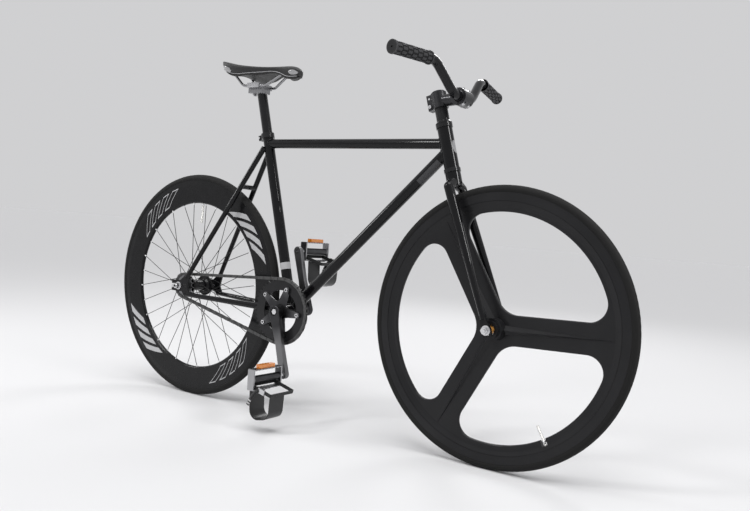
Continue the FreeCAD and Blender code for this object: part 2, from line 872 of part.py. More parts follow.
def build_seat_clamp():
    """A split collar at the top of the seat tube, drawn together by a bolt behind it."""
    turn = FreeCAD.Rotation(UP, SEAT_AXIS)
    back = turn.multVec(-FORWARD)
    high = on_seat(N.seat_tube_length)
    low = on_seat(N.seat_tube_length - N.collar_height)
    middle = (low + high) / 2
    ring = rod("collar_ring", S.collar_radius, low, high)
    ears = block("collar_ears", S.collar_ear_length, S.collar_ear_width, S.collar_height,
                 middle + back * (N.collar_ear_length / 2), turn)
    blank = fused("collar_blank", ring, ears)
    run = SEAT_AXIS * N.overrun
    bore = rod("collar_bore", S.seat_tube_radius + S.running_clearance, low - run, high + run)
    slit = block("collar_slit", S.collar_ear_length + S.overrun, S.seat_slot_width,
                 S.collar_height + 2 * S.overrun,
                 middle + back * ((N.collar_ear_length + N.overrun) / 2), turn)
    spot = middle + back * N.collar_bolt_offset
    head = LEFT * (N.collar_ear_width / 2)
    hole = rod("collar_hole", S.collar_bolt_radius + S.running_clearance,
               spot - head - LEFT * N.overrun, spot + head + LEFT * N.overrun)
    node(cut("seat_clamp", blank, bore, slit, hole))
    shank = rod("collar_shank", S.collar_bolt_radius,
                spot - head - LEFT * N.collar_bolt_head_height, spot + head)
    cap = rod("collar_head", S.collar_bolt_head_radius, spot + head,
              spot + head + LEFT * N.collar_bolt_head_height)
    node(fused("seat_clamp_bolt", shank, cap))


# Seatpost and saddle

POST_TOP = on_seat(N.seatpost_reach)
POST_HEAD = POST_TOP - FORWARD * N.post_setback
RAIL_BASE = POST_HEAD + UP * (N.post_head_height / 2 + N.cradle_height)


def build_seatpost():
    """A round post with a flat head set back over it."""
    low = on_seat(N.seat_tube_length - N.seatpost_insert)
    post = rod("seatpost_rod", S.seatpost_radius, low, POST_TOP)
    stop = POST_TOP - SEAT_AXIS * (2 * N.post_head_height)
    inside = rod("seatpost_inside", S.seatpost_radius - S.seatpost_wall, low - SEAT_AXIS * N.overrun, stop)
    head = block("seatpost_head", S.post_head_length, S.post_head_width, S.post_head_height, POST_HEAD)
    crop = block("seatpost_crop", 2 * S.post_head_length, 2 * S.post_head_width, S.post_head_height,
                 POST_HEAD + UP * N.post_head_height)
    blank = fused("seatpost_blank", post, head)
    spot = POST_HEAD - FORWARD * N.post_bolt_back
    hole = rod("seatpost_bolt_hole", S.post_bolt_radius + S.slip_clearance,
               spot - UP * N.post_head_height, spot + UP * N.post_head_height)
    node(cut("seatpost", blank, inside, crop, hole))


def rail_path(side):
    """One rail: sprung up to the nose in front and to the wings behind."""
    base = RAIL_BASE
    return (
        base + vector(-N.rail_end_reach, side * N.rail_end_spread / 2, N.rail_end_rise),
        base + vector(-N.rail_rear_reach, side * N.rail_rear_spread / 2, 0),
        base + vector(N.cradle_length / 2, side * N.rail_spread / 2, 0),
        base + vector(N.rail_front_reach, side * N.rail_front_spread / 2, -N.rail_front_drop),
        base + vector(N.rail_nose_reach, side * N.rail_nose_spread / 2, N.rail_nose_rise),
    )


def bent_wire(points, bends):
    """Straight runs joined by tangent arcs, one bend for each inner point."""
    edges = []
    start = points[0]
    for index in range(1, len(points) - 1):
        corner = points[index]
        before = (points[index - 1] - corner).normalize()
        after = (points[index + 1] - corner).normalize()
        half_angle = before.getAngle(after) / 2
        reach = bends[index - 1] / math.tan(half_angle)
        inward = (before + after).normalize()
        middle = corner + inward * (bends[index - 1] / math.sin(half_angle) - bends[index - 1])
        arc_start = corner + before * reach
        arc_end = corner + after * reach
        edges.append(Part.LineSegment(start, arc_start).toShape())
        edges.append(Part.Arc(arc_start, middle, arc_end).toShape())
        start = arc_end
    edges.append(Part.LineSegment(start, points[-1]).toShape())
    return Part.Wire(edges)


def bent_rod(points, bends, radius):
    wire = bent_wire(points, bends)
    direction = points[1] - points[0]
    circle = Part.Wire([Part.Circle(points[0], direction, radius).toShape()])
    return wire.makePipeShell([circle], True, False)


def build_saddle():
    base = RAIL_BASE
    rails = []
    for name, side in SIDES:
        shape = bent_rod(rail_path(side), [N.rail_bend, 2 * N.rail_bend, N.rail_bend], N.rail_radius)
        rails.append(solid(name + "_rail", shape))
    node(group("saddle_rails", *rails))
    low = block("cradle_block", S.cradle_length, S.cradle_width, S.cradle_height - S.body_gap,
                base - UP * ((N.cradle_height + N.body_gap) / 2))
    high = block("cradle_cap_block", S.cradle_length, S.cradle_width, S.cradle_top_height,
                 base + UP * (N.cradle_top_height / 2 + N.body_gap))
    spot = POST_HEAD - FORWARD * N.post_bolt_back
    bolt_low = spot - UP * (N.post_head_height / 2)
    nut_low = vector(spot.x, 0, base.z + N.cradle_top_height + N.body_gap)
    nut_high = nut_low + UP * N.post_bolt_head_height
    shank = rod("post_bolt_shank", S.post_bolt_radius, bolt_low, nut_high)
    head = rod("post_bolt_head", S.post_bolt_head_radius, bolt_low - UP * N.post_bolt_head_height, bolt_low)
    nut = rod("post_bolt_nut", S.post_bolt_head_radius, nut_low, nut_high)
    hole = rod("cradle_hole", S.post_bolt_radius + S.slip_clearance, bolt_low, nut_high)
    rail_group = group("rail_cutters", *rails)
    cradle = cut("saddle_cradle", low, hole, rail_group)
    cap = cut("saddle_cradle_cap", high, hole, rail_group)
    node(group("saddle_clamp", cradle, cap, fused("saddle_clamp_bolt", shank, head, nut)))
    pad = solid("saddle_pad", saddle_loft(base))
    blank = solid("saddle_shell_blank", saddle_loft(base, N.saddle_shell_margin, N.saddle_shell_thickness))
    node(cut("saddle_shell", blank, pad, rail_group))
    node(pad)


def saddle_loft(base, margin=0, thickness=0):
    """The saddle's pad or, with a margin and a thickness, the blank of the thin shell under it."""
    nose = base.x + N.saddle_nose_reach - margin
    length = N.saddle_length - 2 * margin
    sections = []
    for place, width, lower, upper, dome, hollow in SADDLE_SECTION_SHARES:
        x = nose - place * length
        half = width * N.saddle_width / 2
        foot = half * SADDLE_TUCK_SHARE - margin
        half = foot + margin * SADDLE_TUCK_SHARE if margin else half
        low = base.z + lower * N.saddle_height - thickness
        dish = hollow * N.saddle_dish
        if thickness:
            high = low + thickness + N.overrun
            top = high + dish
        else:
            high = base.z + upper * N.saddle_height
            top = high + dome * N.saddle_crown
        wide = (half + foot) / 2 + width * N.saddle_bulge
        middle = (low + high) / 2
        edges = [
            Part.Arc(vector(x, -foot, low), vector(x, 0, low + dish), vector(x, foot, low)),
            Part.Arc(vector(x, foot, low), vector(x, wide, middle), vector(x, half, high)),
            Part.Arc(vector(x, half, high), vector(x, 0, top), vector(x, -half, high)),
            Part.Arc(vector(x, -half, high), vector(x, -wide, middle), vector(x, -foot, low)),
        ]
        sections.append(Part.Wire([edge.toShape() for edge in edges]))
    return Part.makeLoft(sections, True, False)


# Fork, steerer and front axle

BLADE_TOP = N.crown_seat_height - N.crown_drop


def blade_line(side):
    """The blade's axis, from inside the crown to just above the axle."""
    top = on_steer(BLADE_TOP, 0, side * N.blade_spread / 2)
    end_middle = N.front_spacing / 2 + N.fork_end_thickness / 2
    axle = FRONT + LEFT * (side * end_middle)
    tip = axle + (top - axle).normalize() * N.blade_tip_height
    return top, vector(tip.x, side * end_middle, tip.z)


def build_fork():
    seat = on_steer(N.crown_seat_height)
    foot = on_steer(BLADE_TOP)
    boss = rod("crown_boss", S.crown_boss_radius, foot, seat)
    race_top = on_steer(N.crown_seat_height + N.race_height - N.body_gap)
    race = rod("crown_race", S.race_radius, seat, race_top)
    pieces = [boss, race]
    blades = []
    for name, side in SIDES:
        top, tip = blade_line(side)
        run = (tip - top).normalize()
        socket_end = top + run * N.blade_socket
        middle = on_steer(BLADE_TOP + N.crown_shoulder_radius)
        pieces.append(cone(name + "_shoulder", S.crown_shoulder_radius, S.blade_top_radius, middle, top))
        pieces.append(ball(name + "_shoulder_end", S.blade_top_radius, top))
        pieces.append(rod(name + "_socket", S.blade_top_radius, top, socket_end))
        plate = fork_end(name, side, top)
        outside = cone(name + "_blade_outside", S.blade_top_radius, S.blade_tip_radius, socket_end, tip)
        inside = cone(name + "_blade_inside", S.blade_top_radius - S.blade_wall,
                      S.blade_tip_radius - S.blade_wall, socket_end - run * N.overrun, tip + run * N.overrun)
        blades.append(cut(name + "_blade", outside, inside, plate))
        blades.append(plate)
    blank = fused("crown_blank", *pieces)
    steerer_foot = on_steer(BLADE_TOP + N.steerer_foot_rise)
    bore = rod("crown_steerer_bore", S.steerer_radius + S.running_clearance, steerer_foot,
               race_top + STEER_AXIS * N.overrun)
    spot = on_steer(BLADE_TOP + N.crown_bore_rise)
    reach = STEER_FRONT * (N.crown_boss_radius + N.overrun)
    brake = rod("crown_brake_bore", S.brake_bore_radius, spot - reach, spot + reach)
    node(cut("fork_crown", blank, bore, brake))
    node(group("fork_blades", *blades))
    node(tube("steerer_tube", S.steerer_radius, S.steerer_radius - S.steerer_wall, steerer_foot,
              on_steer(STEM_HIGH - N.clamp_slit)))


def fork_end(name, side, top):
    """A fork end with its axle slot open downward, tanged into the blade."""
    slot = S.front_axle_radius + S.slip_clearance
    wide = S.fork_end_half_width
    tang = S.fork_end_tang
    reach = S.blade_tip_height + S.fork_end_neck
    outline = (
        (slot, -S.fork_end_drop),
        (wide - slot / 2, -S.fork_end_drop),
        (wide, 0),
        (tang, S.fork_end_neck + slot),
        (tang - S.clip_thickness, reach),
        (S.clip_thickness - tang, reach),
        (-tang, S.fork_end_neck + slot),
        (-wide, 0),
        (slot / 2 - wide, -S.fork_end_drop),
        (-slot, -S.fork_end_drop),
        (-slot, 0, -slot),
        (0, slot, -slot),
        (slot, 0),
    )
    plate = padded(name + "_fork_end", S.fork_end_thickness, outline)
    outside = side * N.front_spacing / 2
    if side > 0:
        outside += N.fork_end_thickness
    line = vector(top.x - FRONT.x, 0, top.z - FRONT.z)
    lean = math.degrees(math.atan2(line.x, line.z))
    turn = FreeCAD.Rotation(LEFT, lean).multiply(SIDE_PLANE)
    return placed(plate, FRONT + vector(0, outside, 0), turn)


def axle_stack(name, centre, side, inside, steps):
    """Rods set end to end outward along an axle: radius, height and sides of each."""
    pieces = []
    start = inside
    for label, radius, height, sides in steps:
        near = centre + LEFT * (side * start)
        far = centre + LEFT * (side * (start + float(height)))
        title = "%s_%s" % (name, label)
        pieces.append(prism(title, sides, radius, near, far) if sides else rod(title, radius, near, far))
        start += float(height)
    return pieces


def bored(pieces, radius, centre, half_length):
    """Drill each piece along the axle."""
    reach = LEFT * (half_length + N.overrun)
    drilled = []
    for piece in pieces:
        drill = rod(piece.Name + "_drill", radius, centre - reach, centre + reach)
        drilled.append(cut(piece.Name + "_bored", piece, drill))
    return drilled


def build_front_axle():
    half = LEFT * (N.front_axle_length / 2)
    node(rod("front_axle", S.front_axle_radius, FRONT - half, FRONT + half))
    nuts = []
    locks = []
    outer_face = N.front_spacing / 2 + N.fork_end_thickness
    lock_start = N.front_hub_width / 2 + N.body_gap
    lock_run = S.front_spacing / 2 - S.front_hub_width / 2 - S.body_gap
    for name, side in SIDES:
        nuts += axle_stack(name + "_front", FRONT, side, outer_face,
                           (("washer", S.washer_radius, S.washer_height, 0),
                            ("nut", S.nut_hex_radius, S.nut_height, 6)))
        locks += axle_stack(name + "_front", FRONT, side, lock_start,
                            (("cone_nut", S.locknut_radius, lock_run / 2, 0),
                             ("locknut", S.nut_hex_radius, lock_run / 2, 6)))
    drill = S.front_axle_radius + S.running_clearance
    node(group("front_axle_nuts", *bored(nuts, drill, FRONT, N.front_axle_length / 2)))
    node(group("front_hub_locknuts", *bored(locks, drill, FRONT, N.front_axle_length / 2)))


# Stem, handlebar and grips

STEM_MIDDLE = on_steer((STEM_LOW + STEM_HIGH) / 2)
BAR_CENTRE = on_steer((STEM_LOW + STEM_HIGH) / 2 - N.stem_bar_drop, N.stem_reach)
STEM_LINE = (BAR_CENTRE - STEM_MIDDLE).normalize()
STEM_LIFT = vector(-STEM_LINE.z, 0, STEM_LINE.x)
STEM_TURN = FreeCAD.Rotation(FORWARD, STEM_LINE)


def build_spacers():
    cover = turned("headset_cover", (
        (S.steerer_radius + S.running_clearance, 0),
        (S.cup_radius, 0),
        (S.cup_radius, S.cover_height / 3),
        (S.cover_top_radius, S.cover_height),
        (S.steerer_radius + S.running_clearance, S.cover_height),
    ))
    pieces = [placed(cover, on_steer(COVER_LOW), STEER_TURN)]
    step = S.spacer_stack / SPACERS
    for number in range(SPACERS):
        ring = turned("spacer_%d" % (number + 1), rectangle(
            S.steerer_radius + S.running_clearance, S.spacer_radius, 0, step))
        pieces.append(placed(ring, on_steer(SPACER_LOW + number * float(step)), STEER_TURN))
    node(group("headset_spacers", *pieces))


def face_bolts():
    """Where the four faceplate bolts stand on the split plane of the bar clamp."""
    for lift in (1, -1):
        for side in (1, -1):
            yield (BAR_CENTRE + STEM_LIFT * (lift * N.face_bolt_offset)
                   + LEFT * (side * N.face_bolt_spacing / 2))


def pinch_bolts():
    for rise in (1, -1):
        yield STEM_MIDDLE + STEER_AXIS * (rise * N.pinch_spacing / 2) - STEER_FRONT * N.pinch_offset


def build_stem():
    run = STEER_AXIS * N.overrun
    low = on_steer(STEM_LOW)
    high = on_steer(STEM_HIGH)
    half = LEFT * (N.bar_clamp_width / 2)
    post = rod("stem_post", S.stem_clamp_radius, low, high)
    neck = rod("stem_neck", S.stem_neck_radius, STEM_MIDDLE, BAR_CENTRE)
    jaw = rod("stem_jaw", S.bar_clamp_radius, BAR_CENTRE - half, BAR_CENTRE + half)
    turn = FreeCAD.Rotation(UP, STEER_AXIS)
    ears = block("stem_ears", S.pinch_ear_length, S.pinch_ear_width, S.stem_height,
                 STEM_MIDDLE - STEER_FRONT * (N.pinch_ear_length / 2), turn)
    blank = fused("stem_blank", post, neck, jaw, ears)
    bore = rod("stem_bore", S.steerer_radius + S.running_clearance, low - run, high + run)
    bar_bore = rod("stem_bar_bore", S.bar_clamp_bore_radius + S.running_clearance,
                   BAR_CENTRE - half - LEFT * N.overrun, BAR_CENTRE + half + LEFT * N.overrun)
    slit = block("stem_slit", S.pinch_ear_length + S.overrun, S.clamp_slit, S.stem_height + 2 * S.overrun,
                 STEM_MIDDLE - STEER_FRONT * ((N.pinch_ear_length + N.overrun) / 2), turn)
    box = 2 * (S.bar_clamp_radius + S.overrun)
    front = block("stem_front_half", box, S.bar_clamp_width + 2 * S.overrun, box,
                  BAR_CENTRE + STEM_LINE * (float(box) / 2 - N.clamp_slit / 2), STEM_TURN)
    rear = block("stem_rear_half", box, S.bar_clamp_width + 2 * S.overrun, box,
                 BAR_CENTRE - STEM_LINE * (float(box) / 2 - N.clamp_slit / 2), STEM_TURN)
    bolts = []
    holes = []
    counters = []
    for number, spot in enumerate(face_bolts(), start=1):
        seat = spot + STEM_LINE * N.face_bolt_seat
        tip = spot - STEM_LINE * N.face_bolt_depth
        bolts.append(bolt("face_bolt_%d" % number, tip, seat))
        holes.append(rod("face_hole_%d" % number, S.stem_bolt_radius + S.running_clearance,
                         tip, seat + STEM_LINE * N.overrun))
        counters.append(rod("face_counter_%d" % number, S.stem_bolt_head_radius + S.slip_clearance,
                            seat, seat + STEM_LINE * (2 * N.face_bolt_seat)))
    face_holes = group("face_holes", *holes)
    face_counters = group("face_counters", *counters)
    side = LEFT * (N.pinch_ear_width / 2)
    pinch_holes = []
    for number, spot in enumerate(pinch_bolts(), start=1):
        way = 1 if number == 1 else -1
        bolts.append(bolt("pinch_bolt_%d" % number, spot - side * way, spot + side * way))
        pinch_holes.append(rod("pinch_hole_%d" % number, S.stem_bolt_radius + S.running_clearance,
                               spot - side - LEFT * N.overrun, spot + side + LEFT * N.overrun))
    pinches = group("pinch_holes", *pinch_holes)
    node(cut("stem", blank, bore, bar_bore, slit, front, face_holes, pinches))
    plate = rod("faceplate_ring", S.bar_clamp_radius, BAR_CENTRE - half, BAR_CENTRE + half)
    node(cut("stem_faceplate", plate, bar_bore, rear, face_holes, face_counters))
    node(group("stem_bolts", *bolts))
    cap_low = high
    cap_high = high + STEER_AXIS * N.top_cap_height
    disc = rod("top_cap_disc", S.top_cap_radius, cap_low, cap_high)
    shank = rod("top_cap_shank", S.cap_bolt_radius, cap_low - STEER_AXIS * N.cap_bolt_length, cap_high)
    head = rod("top_cap_head", S.cap_bolt_head_radius, cap_high, cap_high + STEER_AXIS * N.cap_bolt_radius)
    star = on_steer(STEM_HIGH - N.cap_bolt_length)
    anchor = rod("top_cap_anchor", S.steerer_radius - S.steerer_wall - S.running_clearance,
                 star, star + STEER_AXIS * N.top_cap_height)
    node(fused("stem_top_cap", disc, shank, head, anchor))


def bolt(name, tip, seat):
    """A bolt with a round head, its shank from the tip to the seat."""
    run = (seat - tip).normalize()
    shank = rod(name + "_shank", S.stem_bolt_radius, tip, seat)
    head = rod(name + "_head", S.stem_bolt_head_radius, seat, seat + run * N.stem_bolt_head_height)
    socket = prism(name + "_socket", 6, S.stem_bolt_radius, seat + run * (N.stem_bolt_head_height / 2),
                   seat + run * (N.stem_bolt_head_height + N.overrun))
    return cut(name, fused(name + "_blank", shank, head), socket)


def bar_side(side):
    """The bar's corner points on one side, from the clamp to the end."""
    straight = BAR_CENTRE + LEFT * (side * N.bar_straight)
    shoulder = straight + vector(-N.bar_rise_back, side * N.bar_rise_out, N.bar_rise)
    end_run = N.bar_half_width - N.bar_straight - N.bar_rise_out
    end = shoulder + vector(-N.bar_sweep_back, side * end_run, -N.bar_sweep_drop)
    return straight, shoulder, end


def build_handlebar():
    left = bar_side(1)
    right = bar_side(-1)
    end_cap = (left[2] - left[1]).normalize() * N.grip_end_height
    right_cap = (right[2] - right[1]).normalize() * N.grip_end_height
    points = (left[2] - end_cap, left[1], left[0], right[0], right[1], right[2] - right_cap)
    bends = (N.bar_high_bend, N.bar_low_bend, N.bar_low_bend, N.bar_high_bend)
    outside = solid("bar_outside", bent_rod(points, bends, N.bar_radius))
    inside = solid("bar_inside", bent_rod(points, bends, N.bar_radius - N.bar_wall))
    half = S.bar_sleeve_width / 2
    sleeve = turned("bar_sleeve", mirrored((
        (S.bar_radius - S.bar_wall / 2, half),
        (S.bar_radius, half),
        (S.bar_clamp_bore_radius, half - S.bar_sleeve_taper),
    )))
    placed(sleeve, BAR_CENTRE)
    node(cut("handlebar", fused("bar_blank", outside, sleeve), inside))
    grips = []
    for name, side in SIDES:
        shoulder, end = bar_side(side)[1:]
        way = (end - shoulder).normalize()
        bore = S.bar_radius + S.running_clearance
        length = S.grip_length
        closed = length - S.grip_end_height
        body = turned(name + "_grip", (
            (bore, 0),
            (S.grip_lip_radius, 0),
            (S.grip_lip_radius, S.grip_lip_height),
            (S.grip_radius, S.grip_lip_height),
            (S.grip_radius, closed),
            (S.grip_end_radius, closed),
            (S.grip_end_radius, length),
            (S.running_clearance, length),
            (S.running_clearance, closed),
            (bore, closed),
        ))
        grips.append(placed(body, end - way * N.grip_length, FreeCAD.Rotation(LEFT, way)))
    node(group("handlebar_grips", *grips))


# Wheels

def tyre_points():
    """Half of the tyre's section: crown, sidewall, bead and lining."""
    middle = S.tyre_radius - S.tyre_width / 2
    outer = S.tyre_width / 2
    inner = outer - S.tyre_wall
    shoulder = S.rim_edge_radius + S.body_gap
    drop = middle - shoulder
    bead = S.rim_width / 2 - S.hook_wall - S.slip_clearance
    lining = bead - S.bead_wall
    foot = S.rim_edge_radius - S.bead_depth + S.body_gap
    return (
        (middle + outer, 0, outer),
        (shoulder, (outer * outer - drop * drop).root()),
        (shoulder, bead),
        (foot, bead),
        (foot, lining),
        (middle - (inner * inner - lining * lining).root(), lining, -inner),
        (middle + inner, 0),
    )


def channel_points():
    """Half of the rim's tyre channel, from the middle of its well to the outer edge of the hook."""
    inside = S.rim_width / 2 - S.hook_wall
    seat = S.rim_edge_radius - S.bead_seat_depth
    return (
        (seat - S.well_depth, inside - S.seat_width),
        (seat, inside - S.seat_width),
        (seat, inside),
        (S.rim_edge_radius, inside),
        (S.rim_edge_radius, S.rim_width / 2),
    )


def inner_tube(name, centre, angle, valve_base):
    """A thin hollow ring with a valve that points at the hub."""
    middle = S.tyre_radius - S.tyre_width / 2
    outer = S.tyre_width / 2 - S.tyre_wall - S.body_gap
    pieces = []
    for title, radius in (("outside", outer), ("inside", outer - S.tube_wall)):
        piece = doc.addObject("Part::Torus", "%s_%s" % (name, title))
        piece.setExpression("Radius1", middle.text)
        piece.setExpression("Radius2", radius.text)
        pieces.append(placed(piece, centre, FreeCAD.Rotation(UP, LEFT)))
    root = polar(centre, float(middle) - float(outer) + N.tube_wall / 2, angle)
    tip = polar(centre, valve_base - N.valve_length, angle)
    valve = rod(name + "_valve", S.valve_radius, root, tip)
    ring = cut(name + "_ring", *pieces)
    stem = cut(name + "_stem", valve, pieces[1])
    return fused(name, ring, stem)


def build_front_wheel():
    half_web = S.web_thickness / 2
    edge = S.rim_edge_radius
    wide = S.rim_width / 2
    groove = edge - S.groove_drop
    rim = turned("tri_rim", mirrored(channel_points() + (
        (groove, wide),
        (groove, wide - S.groove_depth),
        (groove - S.groove_width, wide - S.groove_depth),
        (groove - S.groove_width, wide),
        (edge - S.bevel_drop, S.bevel_width / 2),
        (edge - S.rim_foot_drop, half_web),
    )))
    placed(rim, FRONT)
    web = solid("tri_web", web_plate(), FRONT, SIDE_PLANE)
    ridges = []
    for number in range(WHEEL_ARMS):
        angle = N.spoke_angle + number * 360 / WHEEL_ARMS
        turn = FreeCAD.Rotation(LEFT, -angle).multiply(SIDE_PLANE)
        ridges.append(solid("tri_ridge_%d" % (number + 1), spoke_ridge(), FRONT, turn))
    hub = turned("tri_hub", mirrored((
        (S.front_hub_bore_radius, S.front_hub_width / 2),
        (S.front_hub_end_radius, S.front_hub_width / 2),
        (S.front_hub_end_radius, S.front_barrel_width / 2),
        (S.front_barrel_radius, S.front_barrel_width / 2),
    )))
    placed(hub, FRONT)
    blank = fused("tri_blank", rim, web, hub, *ridges)
    reach = LEFT * (N.front_hub_width / 2 + N.overrun)
    bore = rod("tri_bore", S.front_hub_bore_radius, FRONT - reach, FRONT + reach)
    seats = []
    bearings = []
    for name, side in SIDES:
        face = N.front_hub_width / 2
        near = FRONT + LEFT * (side * (face - N.front_bearing_width))
        far = FRONT + LEFT * (side * face)
        seats.append(rod(name + "_bearing_seat", S.front_bearing_radius + S.running_clearance,
                         near, far + LEFT * (side * N.overrun)))
        ring = tube(name + "_front_bearing", S.front_bearing_radius,
                    S.front_axle_radius + S.running_clearance, near, far)
        bearings.append(ring)
    valve_out = polar(FRONT, N.rim_edge_radius, N.valve_angle)
    valve_in = polar(FRONT, N.window_radius, N.valve_angle)
    valve = rod("tri_valve_hole", S.valve_radius + S.slip_clearance, valve_out, valve_in)
    notch = block("tri_valve_notch", (S.valve_notch_reach - S.window_radius) * 2, S.front_hub_width,
                  S.valve_notch_width, valve_in, FreeCAD.Rotation(LEFT, -N.valve_angle))
    node(cut("tri_spoke_wheel", blank, bore, *seats, notch, valve))
    node(group("front_hub_bearings", *bearings))
    node(placed(turned("front_tyre", mirrored(tyre_points())), FRONT))
    node(inner_tube("front_inner_tube", FRONT, N.valve_angle, N.rim_edge_radius - N.groove_drop))


def window_outline(angle):
    """One opening between two spokes: straight along both, round at the rim and at the hub."""
    half_turn = math.pi / WHEEL_ARMS
    width = N.spoke_half_width
    radius = N.window_radius
    rim_corner = N.window_rim_corner
    hub_corner = N.window_hub_corner
    hub_reach = (width + hub_corner) / math.sin(half_turn)
    rim_reach = radius - rim_corner
    rim_along = math.sqrt(rim_reach ** 2 - (width + rim_corner) ** 2)
    hub_along = hub_reach * math.cos(half_turn)

    def spot(along, across, flip):
        """A point beside the first spoke, or its mirror image beside the next."""
        bearing = math.atan2(across, along)
        reach = math.hypot(along, across)
        turn = math.radians(angle) + (2 * half_turn - bearing if flip else bearing)
        return vector(reach * math.cos(turn), reach * math.sin(turn), 0)

    lean = math.atan2(width + rim_corner, rim_along)
    bend = (lean - math.pi / 2) / 2
    middle_along = rim_along + rim_corner * math.cos(bend)
    middle_across = width + rim_corner + rim_corner * math.sin(bend)
    outer = (radius * math.cos(lean), radius * math.sin(lean))
    crest = (radius * math.cos(half_turn), radius * math.sin(half_turn))
    hub_low = hub_reach - hub_corner
    hub_near = (hub_low * math.cos(half_turn), hub_low * math.sin(half_turn))
    edges = [
        Part.LineSegment(spot(hub_along, width, 0), spot(rim_along, width, 0)),
        Part.Arc(spot(rim_along, width, 0), spot(middle_along, middle_across, 0), spot(*outer, 0)),
        Part.Arc(spot(*outer, 0), spot(*crest, 0), spot(*outer, 1)),
        Part.Arc(spot(*outer, 1), spot(middle_along, middle_across, 1), spot(rim_along, width, 1)),
        Part.LineSegment(spot(rim_along, width, 1), spot(hub_along, width, 1)),
        Part.Arc(spot(hub_along, width, 1), spot(*hub_near, 0), spot(hub_along, width, 0)),
    ]
    return Part.Wire([edge.toShape() for edge in edges])


def web_plate():
    """The flat web with its three openings, their edges rounded over."""
    radius = N.rim_edge_radius - (N.bevel_drop + N.rim_foot_drop) / 2
    thick = N.web_thickness
    plate = Part.makeCylinder(radius, thick, vector(0, 0, -thick / 2))
    for number in range(WHEEL_ARMS):
        face = Part.Face(window_outline(N.spoke_angle + number * 360 / WHEEL_ARMS))
        window = face.extrude(vector(0, 0, thick + 2 * N.overrun))
        window.translate(vector(0, 0, -thick / 2 - N.overrun))
        plate = plate.cut(window)
    rims = [edge for edge in plate.Edges
            if edge.BoundBox.ZLength < N.running_clearance and edge.CenterOfMass.Length > N.running_clearance]
    return plate.makeFillet(min(N.window_rounding, thick * WINDOW_ROUND_SHARE), rims)


WINDOW_ROUND_SHARE = 0.4


def spoke_ridge():
    """A spine that stands out on both faces of a spoke and tapers to the rim."""
    sections = []
    for along, width, height in ((0, N.ridge_root_width, N.ridge_root_height),
                                 (N.ridge_end_radius, N.ridge_tip_width, N.ridge_tip_height)):
        corners = [vector(along, width / 2, 0), vector(along, 0, height / 2),
                   vector(along, -width / 2, 0), vector(along, 0, -height / 2)]
        sections.append(Part.makePolygon(corners + corners[:1]))
    return Part.makeLoft(sections, True, True)


def build_rear_wheel():
    edge = S.rim_edge_radius
    wide = S.rim_width / 2
    track = edge - S.brake_track
    nose = edge - S.rim_depth
    lip = nose + S.nose_rise
    half_nose = S.nose_width / 2
    nose_radius = (half_nose * half_nose + S.nose_rise * S.nose_rise) / (2 * S.nose_rise)
    roof = edge - S.bead_seat_depth - S.well_depth - S.cavity_floor
    floor = nose + S.nose_wall
    cavity_high = wide - S.cavity_wall
    cavity_low = half_nose - S.cavity_wall + S.slip_clearance
    rim = turned("rim_turning", mirrored(channel_points() + (
        (track, wide),
        (lip, half_nose, nose_radius),
        (nose, 0),
    )), mirrored(((roof, cavity_high), (floor, cavity_low))))
    placed(rim, REAR)
    spokes = []
    nipples = []
    holes = []
    flange_holes = []
    for number in range(SPOKES):
        spoke, nipple, hole, flange_hole = lace_spoke(number, float(floor))
        spokes.append(spoke)
        nipples.append(nipple)
        holes.append(hole)
        flange_holes.append(flange_hole)
    valve_hole = rod("rim_valve_hole", S.valve_radius + S.slip_clearance,
                     polar(REAR, edge, N.rear_valve_angle),
                     polar(REAR, float(nose) - N.overrun, N.rear_valve_angle))
    hole_group = solid("rim_nipple_holes", Part.makeCompound(holes))
    node(cut("rear_rim", rim, hole_group, valve_hole))
    node(solid("rear_spokes", Part.makeCompound(spokes)))
    node(solid("spoke_nipples", Part.makeCompound(nipples)))
    node(placed(turned("rear_tyre", mirrored(tyre_points())), REAR))
    node(inner_tube("rear_inner_tube", REAR, N.rear_valve_angle, float(nose)))
    build_rear_hub(flange_holes)


def lace_spoke(number, floor):
    """One spoke with its nipple, the nipple's hole in the rim and the spoke's hole in the flange."""
    step = 360 / SPOKES
    pair = number // 2
    side = 1 if number % 2 else -1
    trail = 1 if pair % 2 else -1
    rim_angle = 90 + step * (number + 0.5)
    hub_angle = rim_angle + trail * SPOKE_CROSSES * 4 * step / 2
    flange = side * N.flange_spacing / 2
    slope = N.flange_spacing / 2 / (floor - N.flange_hole_circle)
    standoff = slope * math.sqrt(N.flange_radius ** 2 - N.flange_hole_circle ** 2)
    face = N.flange_thickness / 2 + N.spoke_radius + standoff
    elbow = polar(REAR, N.flange_hole_circle, hub_angle, flange + trail * face)
    far = polar(REAR, N.flange_hole_circle, hub_angle, flange - trail * face)
    seat = polar(REAR, floor, rim_angle, side * N.nipple_rim_shift)
    way = (seat - elbow).normalize()
    inner_end = seat + way * N.nipple_head_height
    barrel_end = seat - way * N.nipple_length
    straight = cylinder(N.spoke_radius, elbow, inner_end)
    bend = Part.makeSphere(N.spoke_radius, elbow)
    shank = cylinder(N.spoke_radius, elbow, far)
    head = cylinder(N.spoke_head_radius, far, far - LEFT * (trail * N.spoke_head_height))
    spoke = straight.multiFuse([bend, shank, head])
    barrel = cylinder(N.nipple_radius, barrel_end, inner_end)
    cap = cylinder(N.nipple_head_radius, seat + way * N.nipple_seat_gap, inner_end)
    drill = cylinder(N.spoke_radius + N.running_clearance, barrel_end - way * N.overrun,
                     inner_end + way * N.overrun)
    nipple = barrel.fuse(cap).cut(drill)
    hole = cylinder(N.nipple_radius + N.slip_clearance, barrel_end, inner_end)
    flange_hole = cylinder(N.spoke_hole_radius, polar(REAR, N.flange_hole_circle, hub_angle, flange - face),
                           polar(REAR, N.flange_hole_circle, hub_angle, flange + face))
    return spoke, nipple, hole, flange_hole


